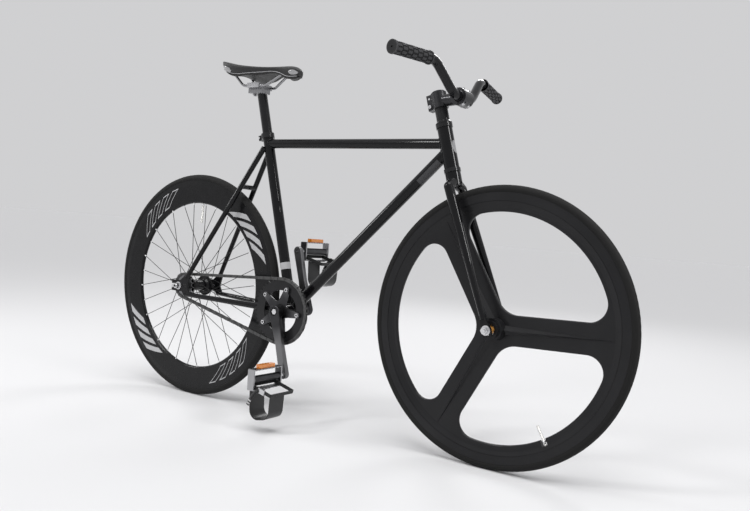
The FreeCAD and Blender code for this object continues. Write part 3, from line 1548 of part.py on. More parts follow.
def cylinder(radius, start, end):
    return Part.makeCylinder(radius, (end - start).Length, start, end - start)


def build_rear_hub(flange_holes):
    half = S.rear_hub_width / 2
    flange = S.flange_spacing / 2
    thick = S.flange_thickness / 2
    cog_face = S.chainline - S.sprocket_thickness / 2
    lock_face = S.chainline + S.sprocket_thickness / 2
    shell = turned("rear_hub_shell", (
        (S.rear_hub_bore_radius, -half),
        (S.lockring_seat_radius, -half),
        (S.lockring_seat_radius, -lock_face),
        (S.cog_seat_radius, -lock_face),
        (S.cog_seat_radius, -cog_face),
        (S.cog_seat_radius + S.flange_thickness, -cog_face),
        (S.cog_seat_radius + S.flange_thickness, -flange - thick),
        (S.flange_radius, -flange - thick),
        (S.flange_radius, thick - flange),
        (S.cog_seat_radius + S.flange_thickness, thick - flange),
        (S.rear_hub_radius, thick - flange + S.flange_thickness * 2),
        (S.rear_hub_radius, flange - thick - S.flange_thickness * 2),
        (S.cog_seat_radius + S.flange_thickness, flange - thick),
        (S.flange_radius, flange - thick),
        (S.flange_radius, flange + thick),
        (S.cog_seat_radius, flange + thick),
        (S.lockring_seat_radius, half),
        (S.rear_hub_bore_radius, half),
    ))
    placed(shell, REAR)
    seats = []
    bearings = []
    for name, side in SIDES:
        near = REAR + LEFT * (side * (N.rear_hub_width / 2 - N.rear_bearing_width))
        far = REAR + LEFT * (side * N.rear_hub_width / 2)
        seats.append(rod(name + "_rear_seat", S.rear_bearing_radius + S.running_clearance,
                         near, far + LEFT * (side * N.overrun)))
        bearings.append(tube(name + "_rear_bearing", S.rear_bearing_radius,
                             S.rear_axle_radius + S.running_clearance, near, far))
    holes = solid("hub_spoke_holes", Part.makeCompound(flange_holes))
    node(cut("rear_hub", shell, holes, *seats))
    node(group("rear_hub_bearings", *bearings))
    cog = solid("cog_blank", sprocket(COG_TEETH, DRIVE_ANGLE + 180),
                REAR - LEFT * float(cog_face), SIDE_PLANE)
    reach = LEFT * N.sprocket_thickness
    middle = REAR - LEFT * N.chainline
    bore = rod("cog_bore", S.cog_seat_radius + S.running_clearance, middle - reach, middle + reach)
    node(cut("fixed_cog", cog, bore))
    lock_low = REAR - LEFT * float(lock_face)
    node(tube("cog_lockring", S.lockring_radius, S.lockring_seat_radius + S.running_clearance,
              lock_low, lock_low - LEFT * N.lockring_height))


def build_rear_axle():
    half = LEFT * (N.rear_axle_length / 2)
    shank = half - LEFT * N.axle_tip_length
    pin = rod("rear_axle_pin", S.axle_tip_radius, REAR - half, REAR + half)
    node(fused("rear_axle", pin, rod("rear_axle_shank", S.rear_axle_radius, REAR - shank, REAR + shank)))
    pieces = []
    outer_face = N.rear_spacing / 2 + N.track_end_thickness
    lock_start = N.rear_hub_width / 2 + N.body_gap
    lock_run = S.rear_spacing / 2 - S.rear_hub_width / 2 - S.body_gap
    for name, side in SIDES:
        pieces += axle_stack(name + "_rear", REAR, side, outer_face,
                             (("washer", S.washer_radius, S.washer_height, 0),
                              ("nut", S.nut_hex_radius, S.nut_height, 6)))
        pieces += axle_stack(name + "_rear", REAR, side, lock_start,
                             (("locknut", S.rear_locknut_radius, lock_run, 6),))
    drill = S.rear_axle_radius + S.running_clearance
    node(group("rear_axle_nuts", *bored(pieces, drill, REAR, N.rear_axle_length / 2)))


# Drive

def sprocket(teeth, angle):
    """A toothed disc about the origin: a roller seat between every two teeth, one seat at the angle."""
    pitch = pitch_radius(teeth)
    seat = N.roller_radius + N.slip_clearance
    open_angle = math.radians(N.seat_half_angle)
    tip = pitch + N.tooth_height
    tip_turn = math.pi / teeth - N.tooth_tip_width / 2 / tip

    def spot(radius, turn):
        return vector(radius * math.cos(turn), radius * math.sin(turn), 0)

    edges = []
    for number in range(teeth):
        turn = math.radians(angle) + 2 * math.pi * number / teeth
        centre = spot(pitch, turn)
        start = centre + spot(seat, turn + math.pi + open_angle)
        end = centre + spot(seat, turn + math.pi - open_angle)
        rise = spot(tip, turn - tip_turn)
        fall = spot(tip, turn + tip_turn)
        after = spot(tip, turn + 2 * math.pi / teeth - tip_turn)
        edges.append(Part.LineSegment(rise, start).toShape())
        edges.append(Part.Arc(start, spot(pitch - seat, turn), end).toShape())
        edges.append(Part.LineSegment(end, fall).toShape())
        edges.append(Part.LineSegment(fall, after).toShape())
    return Part.Face(Part.Wire(edges)).extrude(vector(0, 0, N.sprocket_thickness))


def chain_pins():
    """Every pin of the closed chain, in order round the chainring and the sprocket."""
    ring_step = 360 / CHAINRING_TEETH
    cog_step = 360 / COG_TEETH
    ring = [polar(CRANK, RING_PITCH, DRIVE_ANGLE + ring_step * number)
            for number in range(-RING_HALF_LINKS, RING_HALF_LINKS + 1)]
    cog = [polar(REAR, COG_PITCH, DRIVE_ANGLE + 180 - cog_step * number)
           for number in range(COG_HALF_LINKS, -COG_HALF_LINKS - 1, -1)]
    upper = [ring[-1] + (cog[0] - ring[-1]) * (number / SPAN_LINKS) for number in range(1, SPAN_LINKS)]
    lower = [cog[-1] + (ring[0] - cog[-1]) * (number / SPAN_LINKS) for number in range(1, SPAN_LINKS)]
    return ring + upper + cog + lower


def link_plates(inside):
    """A pair of rounded link plates along X from the first pin to the next."""
    pitch = N.chain_pitch
    radius = N.link_radius
    edges = [
        Part.LineSegment(vector(0, radius, 0), vector(pitch, radius, 0)),
        Part.Arc(vector(pitch, radius, 0), vector(pitch + radius, 0, 0), vector(pitch, -radius, 0)),
        Part.LineSegment(vector(pitch, -radius, 0), vector(0, -radius, 0)),
        Part.Arc(vector(0, -radius, 0), vector(-radius, 0, 0), vector(0, radius, 0)),
    ]
    face = Part.Face(Part.Wire([edge.toShape() for edge in edges]))
    plates = []
    for low in (inside, -inside - N.link_plate):
        plate = face.extrude(vector(0, 0, N.link_plate))
        plate.translate(vector(0, 0, low))
        plates.append(plate)
    return plates


def chain_links():
    """An inner link with its rollers and an outer link with its pins, both along X."""
    inner_face = N.chain_inner_width / 2
    inner_plates = link_plates(inner_face)
    spots = (vector(0, 0, 0), vector(N.chain_pitch, 0, 0))
    rollers = [cylinder(N.roller_radius, spot - UP * inner_face, spot + UP * inner_face) for spot in spots]
    inner = inner_plates[0].multiFuse(inner_plates[1:] + rollers)
    reach = UP * (inner_face + N.link_plate + N.overrun)
    for spot in spots:
        inner = inner.cut(cylinder(N.chain_pin_radius + N.running_clearance, spot - reach, spot + reach))
    outer_face = inner_face + N.link_plate + N.running_clearance
    outer_plates = link_plates(outer_face)
    pin = UP * (outer_face + N.link_plate + N.chain_pin_end)
    pins = [cylinder(N.chain_pin_radius, spot - pin, spot + pin) for spot in spots]
    outer = outer_plates[0].multiFuse(outer_plates[1:] + pins)
    return inner, outer


def build_chain():
    pins = chain_pins()
    links = []
    shapes = chain_links()
    for number, pin in enumerate(pins):
        after = pins[(number + 1) % len(pins)]
        lean = math.degrees(math.atan2(after.z - pin.z, after.x - pin.x))
        link = shapes[number % 2].copy()
        turn = FreeCAD.Rotation(LEFT, -lean).multiply(SIDE_PLANE)
        link.Placement = FreeCAD.Placement(pin - LEFT * N.chainline, turn)
        links.append(link)
    node(solid("chain", Part.makeCompound(links)))


def arm_outline(length, hub, eye, waist):
    """A crank arm along X: a round hub, straight flanks drawn in at the waist and a round eye."""
    middle = length / 2
    return (
        (0, hub, hub),
        (-hub, 0, hub),
        (0, -hub),
        (middle, -waist),
        (length, -eye, eye),
        (length + eye, 0, eye),
        (length, eye),
        (middle, waist),
    )


def rounded(body, radius):
    """Round the edges of the flat faces of a padded body."""
    fillet = body.newObject("PartDesign::Fillet", body.Name + "_rounding")
    doc.recompute()
    pad = body.Tip if body.Tip.Name != fillet.Name else fillet.BaseFeature
    edges = []
    for number, edge in enumerate(pad.Shape.Edges, start=1):
        if edge.BoundBox.ZLength < N.running_clearance:
            edges.append("Edge%d" % number)
    fillet.Base = (pad, edges)
    fillet.setExpression("Radius", sized(radius).text)
    return body


def crank_arm(name, side, angle):
    """One arm with its boss, its spindle hole and the recess over the spindle bolt."""
    body = padded(name + "_forging", S.crank_thickness, arm_outline(
        S.crank_length, S.crank_hub_radius, S.crank_eye_radius, S.crank_waist_half_width))
    rounded(body, S.crank_rounding)
    outside = side * N.crank_inner
    if side > 0:
        outside += N.crank_thickness
    turn = FreeCAD.Rotation(LEFT, -angle).multiply(SIDE_PLANE)
    placed(body, CRANK + LEFT * outside, turn)
    boss = rod(name + "_boss", S.crank_boss_radius, CRANK + LEFT * (side * N.crank_boss_inner),
               CRANK + LEFT * (side * (N.crank_inner + N.crank_thickness / 2)))
    return [body, boss]


def crank_holes(name, side, angle):
    """What is cut from an arm: the square, the bolt hole, its recess and the pedal thread."""
    end = N.spindle_length / 2
    face = N.crank_inner + N.crank_thickness
    turn = FreeCAD.Rotation(LEFT, -angle)
    square_run = S.spindle_length / 2 - S.crank_boss_inner + S.overrun
    square = block(name + "_square", S.spindle_square + S.slip_clearance, square_run,
                   S.spindle_square + S.slip_clearance,
                   CRANK + LEFT * (side * (end - float(square_run) / 2)), turn)
    recess = rod(name + "_recess", S.crank_recess_radius, CRANK + LEFT * (side * end),
                 CRANK + LEFT * (side * (face + N.overrun)))
    eye = pedal_centre(side)
    thread = rod(name + "_eye", S.pedal_axle_radius + S.running_clearance,
                 eye + LEFT * (side * (N.crank_inner - N.overrun)), eye + LEFT * (side * (face + N.overrun)))
    shaft = rod(name + "_shaft_hole", S.spindle_radius + S.slip_clearance,
                CRANK + LEFT * (side * N.shell_width / 2),
                CRANK + LEFT * (side * (end - N.spindle_square_length)))
    return [square, recess, thread, shaft]


def pedal_centre(side):
    """The point on the bike's middle plane from which a pedal axle runs outward."""
    angle = N.crank_angle if side < 0 else N.crank_angle + 180
    return polar(CRANK, N.crank_length, angle)


def build_crankset():
    half = LEFT * (N.shell_width / 2)
    flange = LEFT * N.cartridge_flange_width
    body = rod("cartridge_tube", S.shell_bore_radius - S.running_clearance, CRANK - half, CRANK + half)
    caps = [rod(name + "_cartridge_flange", S.cartridge_flange_radius, CRANK + half * side,
                CRANK + half * side + flange * side) for name, side in SIDES]
    reach = half + flange + LEFT * N.overrun
    bore = rod("cartridge_bore", S.spindle_radius + S.running_clearance, CRANK - reach, CRANK + reach)
    node(cut("bottom_bracket_cartridge", fused("cartridge_blank", body, *caps), bore))

    round_end = N.spindle_length / 2 - N.spindle_square_length
    shaft = rod("spindle_shaft", S.spindle_radius, CRANK - LEFT * round_end, CRANK + LEFT * round_end)
    turn = FreeCAD.Rotation(LEFT, -N.crank_angle)
    square = block("spindle_square_bar", S.spindle_square, S.spindle_length, S.spindle_square, CRANK, turn)
    core = block("spindle_square_core", 2 * S.spindle_radius, S.spindle_length - 2 * S.spindle_square_length,
                 2 * S.spindle_radius, CRANK, turn)
    ends = cut("spindle_ends", square, core)
    threads = []
    bolts = []
    for name, side in SIDES:
        tip = CRANK + LEFT * (side * (N.spindle_length / 2 - N.crank_bolt_length))
        seat = CRANK + LEFT * (side * N.spindle_length / 2)
        top = seat + LEFT * (side * N.crank_bolt_head_height)
        threads.append(rod(name + "_spindle_thread", S.crank_bolt_radius + S.running_clearance,
                           tip, seat + LEFT * (side * N.overrun)))
        shank = rod(name + "_crank_bolt_shank", S.crank_bolt_radius, tip, seat)
        head = prism(name + "_crank_bolt_head", 6, S.crank_bolt_head_radius, seat, top)
        bolts.append(fused(name + "_crank_bolt", shank, head))
    node(cut("crank_spindle", fused("spindle_blank", shaft, ends), *threads))

    left_angle = N.crank_angle + 180
    left = fused("left_arm_blank", *crank_arm("left_arm", 1, left_angle))
    node(cut("left_crank_arm", left, *crank_holes("left_arm", 1, left_angle)))
    build_right_crank(bolts)
    build_pedal_axles()


def build_right_crank(bolts):
    pieces = crank_arm("right_arm", -1, N.crank_angle)
    ring_face = N.chainline + N.sprocket_thickness / 2
    outer_face = ring_face + N.spider_thickness
    holes = []
    ring_holes = []
    spread = N.bolt_circle / 2
    waist = S.spider_tab_radius
    for number in range(SPIDER_ARMS):
        angle = N.crank_angle + number * 360 / SPIDER_ARMS
        arm = padded("spider_arm_%d" % (number + 1), S.spider_thickness, arm_outline(
            S.bolt_circle / 2, S.spider_hub_radius, S.spider_tab_radius, waist + S.spider_tab_radius / 2))
        turn = FreeCAD.Rotation(LEFT, -angle).multiply(SIDE_PLANE)
        pieces.append(placed(arm, CRANK - LEFT * ring_face, turn))
        spot = polar(CRANK, spread, angle)
        inner = spot - LEFT * (N.chainline - N.sprocket_thickness / 2)
        outer = spot - LEFT * outer_face
        title = "ring_bolt_%d" % (number + 1)
        shank = rod(title + "_shank", S.ring_bolt_radius, inner, outer)
        nut = rod(title + "_nut", S.ring_bolt_head_radius, inner, inner + LEFT * N.ring_bolt_head_height)
        head = rod(title + "_head", S.ring_bolt_head_radius, outer, outer - LEFT * N.ring_bolt_head_height)
        bolts.append(fused(title, shank, nut, head))
        hole = rod("spider_hole_%d" % (number + 1), S.ring_bolt_radius + S.running_clearance,
                   inner + LEFT * N.overrun, outer - LEFT * N.ring_bolt_head_height)
        holes.append(hole)
        ring_holes.append(hole)
    boss = rod("right_arm_shoulder", S.spider_hub_radius, CRANK - LEFT * ring_face,
               CRANK - LEFT * (N.crank_inner + N.crank_rounding))
    blank = fused("right_arm_blank", *pieces, boss)
    counters = [rod("spider_counter_%d" % (number + 1), S.ring_bolt_head_radius + S.slip_clearance,
                    polar(CRANK, spread, N.crank_angle + number * 360 / SPIDER_ARMS, -outer_face),
                    polar(CRANK, spread, N.crank_angle + number * 360 / SPIDER_ARMS,
                          -outer_face - N.ring_bolt_head_height - N.slip_clearance))
                for number in range(SPIDER_ARMS)]
    cuts = crank_holes("right_arm", -1, N.crank_angle)
    cuts += [group("spider_holes", *holes), group("spider_counters", *counters)]
    node(cut("right_crank_arm", blank, *cuts))
    inner_face = CRANK - LEFT * (ring_face - N.sprocket_thickness)
    ring = solid("chainring_blank", sprocket(CHAINRING_TEETH, DRIVE_ANGLE), inner_face, SIDE_PLANE)
    middle = CRANK - LEFT * N.chainline
    reach = LEFT * N.sprocket_thickness
    opening = rod("chainring_opening", S.ring_inner_radius, middle - reach, middle + reach)
    node(cut("chainring", ring, opening, group("chainring_holes", *ring_holes)))
    node(group("crankset_bolts", *bolts))


def build_pedal_axles():
    axles = []
    face = N.crank_inner + N.crank_thickness
    for name, side in SIDES:
        spot = pedal_centre(side)
        out = LEFT * side
        shaft = rod(name + "_pedal_shaft", S.pedal_axle_radius, spot + out * N.crank_inner,
                    spot + out * (face + N.pedal_inner_gap + N.pedal_width - N.side_plate))
        collar = rod(name + "_pedal_collar", S.pedal_collar_radius, spot + out * face,
                     spot + out * (face + N.pedal_collar_length))
        axles.append(fused(name + "_pedal_axle", shaft, collar))
    node(group("pedal_axles", *axles))


# Pedals

def serrated_plate(name):
    """A cage plate along X, toothed along both long edges."""
    long = S.pedal_width
    high = S.cage_height / 2
    low = high - S.cage_tooth_depth
    step = long / CAGE_TEETH
    top = []
    for number in range(CAGE_TEETH):
        start = step * number
        top.append((start, low))
        top.append((start + step / 3, high))
        top.append((start + 2 * step / 3, high))
    top.append((long, low))
    bottom = [(x, -sized(y)) for x, y in reversed(top)]
    return padded(name, S.cage_plate, tuple(top + bottom)[::-1])


def pedal_frame(side):
    """Where a pedal hangs: its axle's start, and the turn from level to hanging."""
    start = pedal_centre(side) + LEFT * (side * (N.crank_inner + N.crank_thickness + N.pedal_inner_gap))
    return start, FreeCAD.Rotation(LEFT, N.pedal_hang)


def build_pedal(name, side):
    """A cage pedal with its reflector, toe clip and strap, modelled level and then hung."""
    base, hang = pedal_frame(side)

    def spot(x, out, z):
        """A place on the level pedal: forward, outward from the inner end, up."""
        return base + hang.multVec(vector(x, side * float(out), z))

    def hung(piece, x, out, z, turn=NO_TURN):
        return placed(piece, spot(x, out, z), hang.multiply(turn))

    width = N.pedal_width
    barrel = rod(name + "_pedal_barrel", S.pedal_barrel_radius, spot(0, 0, 0), spot(0, width, 0))
    parts = [barrel]
    upright = FreeCAD.Rotation(FORWARD, 90)
    outward = FreeCAD.Rotation(UP, 90 * side).multiply(upright)
    for label, forward in (("front", 1), ("rear", -1)):
        plate = serrated_plate("%s_%s_cage" % (name, label))
        outer_face = forward * N.cage_half_length
        edge = outer_face - N.cage_plate / 2 * side - N.cage_plate / 2 * forward
        parts.append(hung(plate, edge, 0, 0, outward))
    for label, out in (("inner", N.side_plate / 2), ("outer", width - N.side_plate / 2)):
        length = 2 * S.cage_half_length - S.cage_plate
        parts.append(block("%s_%s_side" % (name, label), length, S.side_plate, 2 * S.side_plate_half_height,
                           spot(0, out, 0), hang))
    blank = fused(name + "_pedal_blank", *parts)
    bore = rod(name + "_pedal_bore", S.pedal_axle_radius + S.running_clearance,
               spot(0, -N.overrun, 0), spot(0, width - N.side_plate + N.body_gap, 0))
    clip_bolts = []
    for number, out in enumerate(clip_bolt_places(), start=1):
        clip_bolts.append(hung_bolt(name, number, spot, out))
    holes = group(name + "_clip_holes", *[hole for piece, hole in clip_bolts])
    node(cut(name + "_pedal", blank, bore, holes))
    depth = N.cage_half_length + N.reflector_depth / 2
    node(block(name + "_pedal_reflector", S.reflector_depth, S.reflector_length, S.reflector_height,
               spot(-depth, width / 2, 0), hang))
    clip = solid(name + "_clip_band", clip_shape(), spot(0, width / 2 + N.clip_offset, 0), hang)
    band = cut(name + "_clip", clip, holes)
    node(group(name + "_toe_clip", band, *[piece for piece, hole in clip_bolts]))
    build_strap(name, side, spot, hang)


def clip_bolt_places():
    middle = N.pedal_width / 2 + N.clip_offset
    return middle - N.clip_bolt_spacing / 2, middle + N.clip_bolt_spacing / 2


def hung_bolt(name, number, spot, out):
    """A bolt that holds the toe clip to the front cage plate, with the hole for it."""
    inside = N.cage_half_length - N.cage_plate
    seat = N.cage_half_length + N.clip_thickness
    title = "%s_clip_bolt_%d" % (name, number)
    shank = rod(title + "_shank", S.clip_bolt_radius, spot(inside, out, 0), spot(seat, out, 0))
    head = rod(title + "_head", S.clip_bolt_head_radius, spot(seat, out, 0),
               spot(seat + N.clip_bolt_head_height, out, 0))
    hole = rod(title + "_hole", S.clip_bolt_radius + S.running_clearance, spot(inside - N.overrun, out, 0),
               spot(seat + N.overrun, out, 0))
    return fused(title, shank, head), hole


def clip_shape():
    """The toe clip: a band from the front plate forward, round the toe and back over the foot."""
    face = N.cage_half_length + N.clip_thickness / 2
    sole = -N.clip_sole_drop - N.clip_tab_height / 2
    points = (
        vector(face, 0, N.clip_tab_height / 2),
        vector(face, 0, sole),
        vector(N.clip_reach, 0, sole + N.clip_sole_drop),
        vector(N.clip_reach - N.clip_toe_radius / 2, 0, N.clip_top_rise - N.clip_sole_drop),
        vector(N.clip_top_back, 0, N.clip_top_rise),
    )
    bends = (2 * N.clip_thickness, N.clip_toe_radius, N.clip_toe_radius)
    wire = bent_wire(points, bends)
    half = N.clip_width / 2
    thick = N.clip_thickness / 2
    corners = [points[0] + vector(-thick, -half, 0), points[0] + vector(thick, -half, 0),
               points[0] + vector(thick, half, 0), points[0] + vector(-thick, half, 0)]
    profile = Part.makePolygon(corners + corners[:1])
    return wire.makePipeShell([profile], True, False)


def build_strap(name, side, spot, hang):
    """A leather strap through the cage, up both sides and over the end of the toe clip."""
    thick = N.strap_thickness
    foot = vector(N.strap_foot_forward, 0, -N.strap_foot_drop)
    head = vector(N.clip_top_back + N.strap_width / 4, 0, N.clip_top_rise + N.strap_lift)
    rise = head - foot
    lean = math.degrees(math.atan2(rise.x, rise.z))
    near = N.side_plate + N.strap_side_gap
    far = N.pedal_width - N.side_plate - N.strap_side_gap
    long = rise.Length
    outer = round_loop(side, near, far, 0, long + thick, N.strap_corner)
    inner = round_loop(side, near + thick, far - thick, thick, long, N.strap_corner - thick)
    band = Part.Face(outer).cut(Part.Face(inner)).extrude(vector(N.strap_width, 0, 0))
    turn = hang.multiply(FreeCAD.Rotation(LEFT, lean))
    strap = solid(name + "_strap_band", band, spot(foot.x, 0, foot.z), turn)
    tall = N.buckle_rise + N.buckle_length / 2
    up = FreeCAD.Rotation(LEFT, lean).multVec(UP)
    place = foot + up * tall
    buckle = block(name + "_buckle", S.strap_width + 2 * S.strap_thickness, S.buckle_thickness,
                   S.buckle_length, spot(place.x, far + N.buckle_thickness / 2, place.z), turn)
    node(group(name + "_toe_strap", strap, buckle))


def round_loop(side, near, far, low, high, corner):
    """A rounded rectangle across the pedal, at the rear edge of the strap."""
    slack = corner * (1 - math.sqrt(2) / 2)

    def spot(out, rise):
        return vector(-N.strap_width / 2, side * out, rise)

    edges = [
        Part.LineSegment(spot(near + corner, low), spot(far - corner, low)),
        Part.Arc(spot(far - corner, low), spot(far - slack, low + slack), spot(far, low + corner)),
        Part.LineSegment(spot(far, low + corner), spot(far, high - corner)),
        Part.Arc(spot(far, high - corner), spot(far - slack, high - slack), spot(far - corner, high)),
        Part.LineSegment(spot(far - corner, high), spot(near + corner, high)),
        Part.Arc(spot(near + corner, high), spot(near + slack, high - slack), spot(near, high - corner)),
        Part.LineSegment(spot(near, high - corner), spot(near, low + corner)),
        Part.Arc(spot(near, low + corner), spot(near + slack, low + slack), spot(near + corner, low)),
    ]
    return Part.Wire([edge.toShape() for edge in edges])


# Build everything, check it and write one file for each sub-part

build_frame()
build_headset()
build_seat_clamp()
build_seatpost()
build_saddle()
build_fork()
build_front_axle()
build_spacers()
build_stem()
build_handlebar()
build_front_wheel()
build_rear_wheel()
build_rear_axle()
build_crankset()
build_chain()
for pedal_name, pedal_side in SIDES:
    build_pedal(pedal_name, pedal_side)
doc.recompute()

faults = [piece.Name for piece in doc.Objects if "Invalid" in piece.State or "Error" in piece.State]
for piece in NODES:
    if piece.Shape.isNull() or not piece.Shape.isValid() or not piece.Shape.Solids:
        faults.append(piece.Label)
if faults:
    raise RuntimeError("failed: " + ", ".join(faults))
os.makedirs("parts", exist_ok=True)
for piece in NODES:
    piece.Shape.exportStep(os.path.join("parts", piece.Label + ".step"))
print(len(NODES), "sub-parts written")
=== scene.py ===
# %% [markdown]
# # A fixed gear bike, dressed for the studio
# The solids of the bike come in as a fixed frame: tubes, wheels, chain, cranks and pedals are already at
# their real size and place. This lesson adds what a solid model lacks: a camera at the photograph's angle,
# soft light, a finish for every surface, and the soft or fine pieces such as the saddle's cover, the rubber
# grips and the weld beads.

import math

import bmesh
import bpy
from mathutils import Matrix, Vector


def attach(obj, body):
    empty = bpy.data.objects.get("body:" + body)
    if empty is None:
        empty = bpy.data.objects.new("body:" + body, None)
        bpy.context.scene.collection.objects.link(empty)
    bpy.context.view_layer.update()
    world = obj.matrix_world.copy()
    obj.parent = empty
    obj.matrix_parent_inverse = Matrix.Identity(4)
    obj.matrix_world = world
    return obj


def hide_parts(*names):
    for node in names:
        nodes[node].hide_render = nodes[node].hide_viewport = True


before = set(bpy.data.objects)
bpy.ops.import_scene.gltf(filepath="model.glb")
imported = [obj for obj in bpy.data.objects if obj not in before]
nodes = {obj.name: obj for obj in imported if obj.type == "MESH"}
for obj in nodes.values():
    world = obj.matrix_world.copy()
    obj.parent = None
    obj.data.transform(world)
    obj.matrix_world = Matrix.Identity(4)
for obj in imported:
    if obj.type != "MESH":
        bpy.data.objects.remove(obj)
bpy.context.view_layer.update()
MM = 0.001

# %% [markdown]
# ## Camera
# The photograph was taken from the front right, at about half the bike's height, with the camera slightly
# rolled. A camera is easiest to place by three directions: back towards the viewer, right, and up. The shift
# moves the picture's centre to where the lens pointed, with no change of perspective.

# %% Set the camera
PICTURE_WIDTH, PICTURE_HEIGHT = 750, 511
AZIMUTH, ELEVATION, ROLL = math.radians(30.36), math.radians(5.09), math.radians(4.57)
DISTANCE, FOCAL_PIXELS = 1.7424, 706.3
CENTRE_U, CENTRE_V = 426.0, 302.3
TARGET = Vector((0.3104, 0, 0.3743))
SENSOR, CLIP_END = 36.0, 1000

back = Vector((math.sin(AZIMUTH) * math.cos(ELEVATION), -math.cos(AZIMUTH) * math.cos(ELEVATION),
               math.sin(ELEVATION)))
level = Vector((math.cos(AZIMUTH), math.sin(AZIMUTH), 0))
lift = back.cross(level)
right = level * math.cos(ROLL) + lift * math.sin(ROLL)
up = lift * math.cos(ROLL) - level * math.sin(ROLL)
camera = bpy.data.objects.new("camera", bpy.data.cameras.new("camera"))
bpy.context.collection.objects.link(camera)
stance = Matrix((right, up, back)).transposed().to_4x4()
camera.matrix_world = Matrix.Translation(TARGET + back * DISTANCE) @ stance
camera.data.sensor_fit = "HORIZONTAL"
camera.data.sensor_width = SENSOR
camera.data.lens = FOCAL_PIXELS / PICTURE_WIDTH * SENSOR
camera.data.shift_x = (PICTURE_WIDTH / 2 - CENTRE_U) / PICTURE_WIDTH
camera.data.shift_y = (CENTRE_V - PICTURE_HEIGHT / 2) / PICTURE_WIDTH
camera.data.clip_end = CLIP_END
bpy.context.scene.camera = camera
print("lens", round(camera.data.lens, 2))

# %% [markdown]
# ## Shader maths as expressions
# A material's numbers travel through sockets. Wrapping a socket in a small class lets a pattern be written
# the way it is thought of, such as `1 - mask`, and each operator adds one Math node.


# %% Wrap sockets and materials
class Value:
    """A socket of a finish that takes part in sums."""

    def __init__(self, finish, socket):
        self.finish = finish
        self.socket = socket

    def math(self, operation, other=None, first=None):
        values = {0: self, 1: other} if first is None else {0: first, 1: self}
        return self.finish.node("ShaderNodeMath", {"operation": operation}, values)

    def __add__(self, other):
        return self.math("ADD", other)

    __radd__ = __add__

    def __sub__(self, other):
        return self.math("SUBTRACT", other)

    def __rsub__(self, other):
        return self.math("SUBTRACT", first=other)

    def __mul__(self, other):
        return self.math("MULTIPLY", other)

    __rmul__ = __mul__

    def __truediv__(self, other):
        return self.math("DIVIDE", other)

    def __gt__(self, other):
        return self.math("GREATER_THAN", other)

    def __lt__(self, other):
        return self.math("LESS_THAN", other)

    def __abs__(self):
        return self.math("ABSOLUTE")


class Finish:
    """A procedural material under construction."""

    def __init__(self, name, colour, roughness, **constants):
        self.material = bpy.data.materials.new(name)
        self.material.use_nodes = True
        self.tree = self.material.node_tree
        self.shader = self.tree.nodes["Principled BSDF"]
        self.set("Base Color", (*colour, 1))
        self.set("Roughness", roughness)
        for socket, value in constants.items():
            self.set(socket.replace("_", " ").title().replace("Ior", "IOR"), value)

    def set(self, name, value):
        socket = self.shader.inputs[name]
        if isinstance(value, Value):
            self.tree.links.new(value.socket, socket)
        else:
            socket.default_value = value

    def node(self, kind, settings=None, sockets=None, outlet=0):
        made = self.tree.nodes.new(kind)
        for key, value in (settings or {}).items():
            setattr(made, key, value)
        for key, value in (sockets or {}).items():
            if isinstance(value, Value):
                self.tree.links.new(value.socket, made.inputs[key])
            elif value is not None:
                made.inputs[key].default_value = value
        return Value(self, made.outputs[outlet])

    def place(self):
        return self.node("ShaderNodeTexCoord", outlet="Object")

    def axes(self):
        split = self.node("ShaderNodeSeparateXYZ", None, {0: self.place()})
        return [Value(self, socket) for socket in split.socket.node.outputs]

    def noise(self, scale, detail=4.0, stretch=None):
        place = self.place()
        if stretch:
            place = self.node("ShaderNodeMapping", None, {"Vector": place, "Scale": stretch})
        return self.node("ShaderNodeTexNoise", None, {"Vector": place, "Scale": scale, "Detail": detail})

    def cells(self, scale):
        return self.node("ShaderNodeTexVoronoi", None, {"Vector": self.place(), "Scale": scale})

    def mix(self, share, first, second):
        first = first if isinstance(first, Value) else (*first, 1)
        second = second if isinstance(second, Value) else (*second, 1)
        return self.node("ShaderNodeMix", {"data_type": "RGBA"}, {0: share, 6: first, 7: second}, 2)

    def bump(self, height, strength, distance=MM):
        self.set("Normal", self.node("ShaderNodeBump", None,
                                     {"Height": height, "Strength": strength, "Distance": distance}))

    def along(self, start, way):
        """How far a point lies from a start, measured in one direction."""
        total = 0.0
        for value, origin, share in zip(self.axes(), start, way):
            if share:
                total = (value - origin) * share + total
        return total

    def polar(self, centre):
        """Distance and bearing about a wheel's axle, and the offset along it."""
        x, y, z = self.axes()
        across, rise = x - centre[0], z - centre[2]
        reach = (across * across + rise * rise).math("SQRT")
        return reach, rise.math("ARCTAN2", across), y


def dress(finish, *names):
    """Give nodes of the frame a finish."""
    for name in names:
        mesh = nodes[name].data
        mesh.materials.clear()
        mesh.materials.append(finish.material)
    print(finish.material.name, "on", len(names), "nodes")


print("finishes ready for", len(nodes), "nodes")

# %% [markdown]
# ## Gloss black paint
# The frame and fork are black under clear lacquer. Lacquer is a coat: a second, smoother layer over the
# colour. Fine noise in the roughness stands for dust and handling, and a very weak bump for the slight
# orange peel of sprayed paint. Three plain shapes break up the black: a pale ring on the seat tube, a grey
# panel under the down tube and a grey oval on the head tube. Each is a mask by place, mixed into the colour.

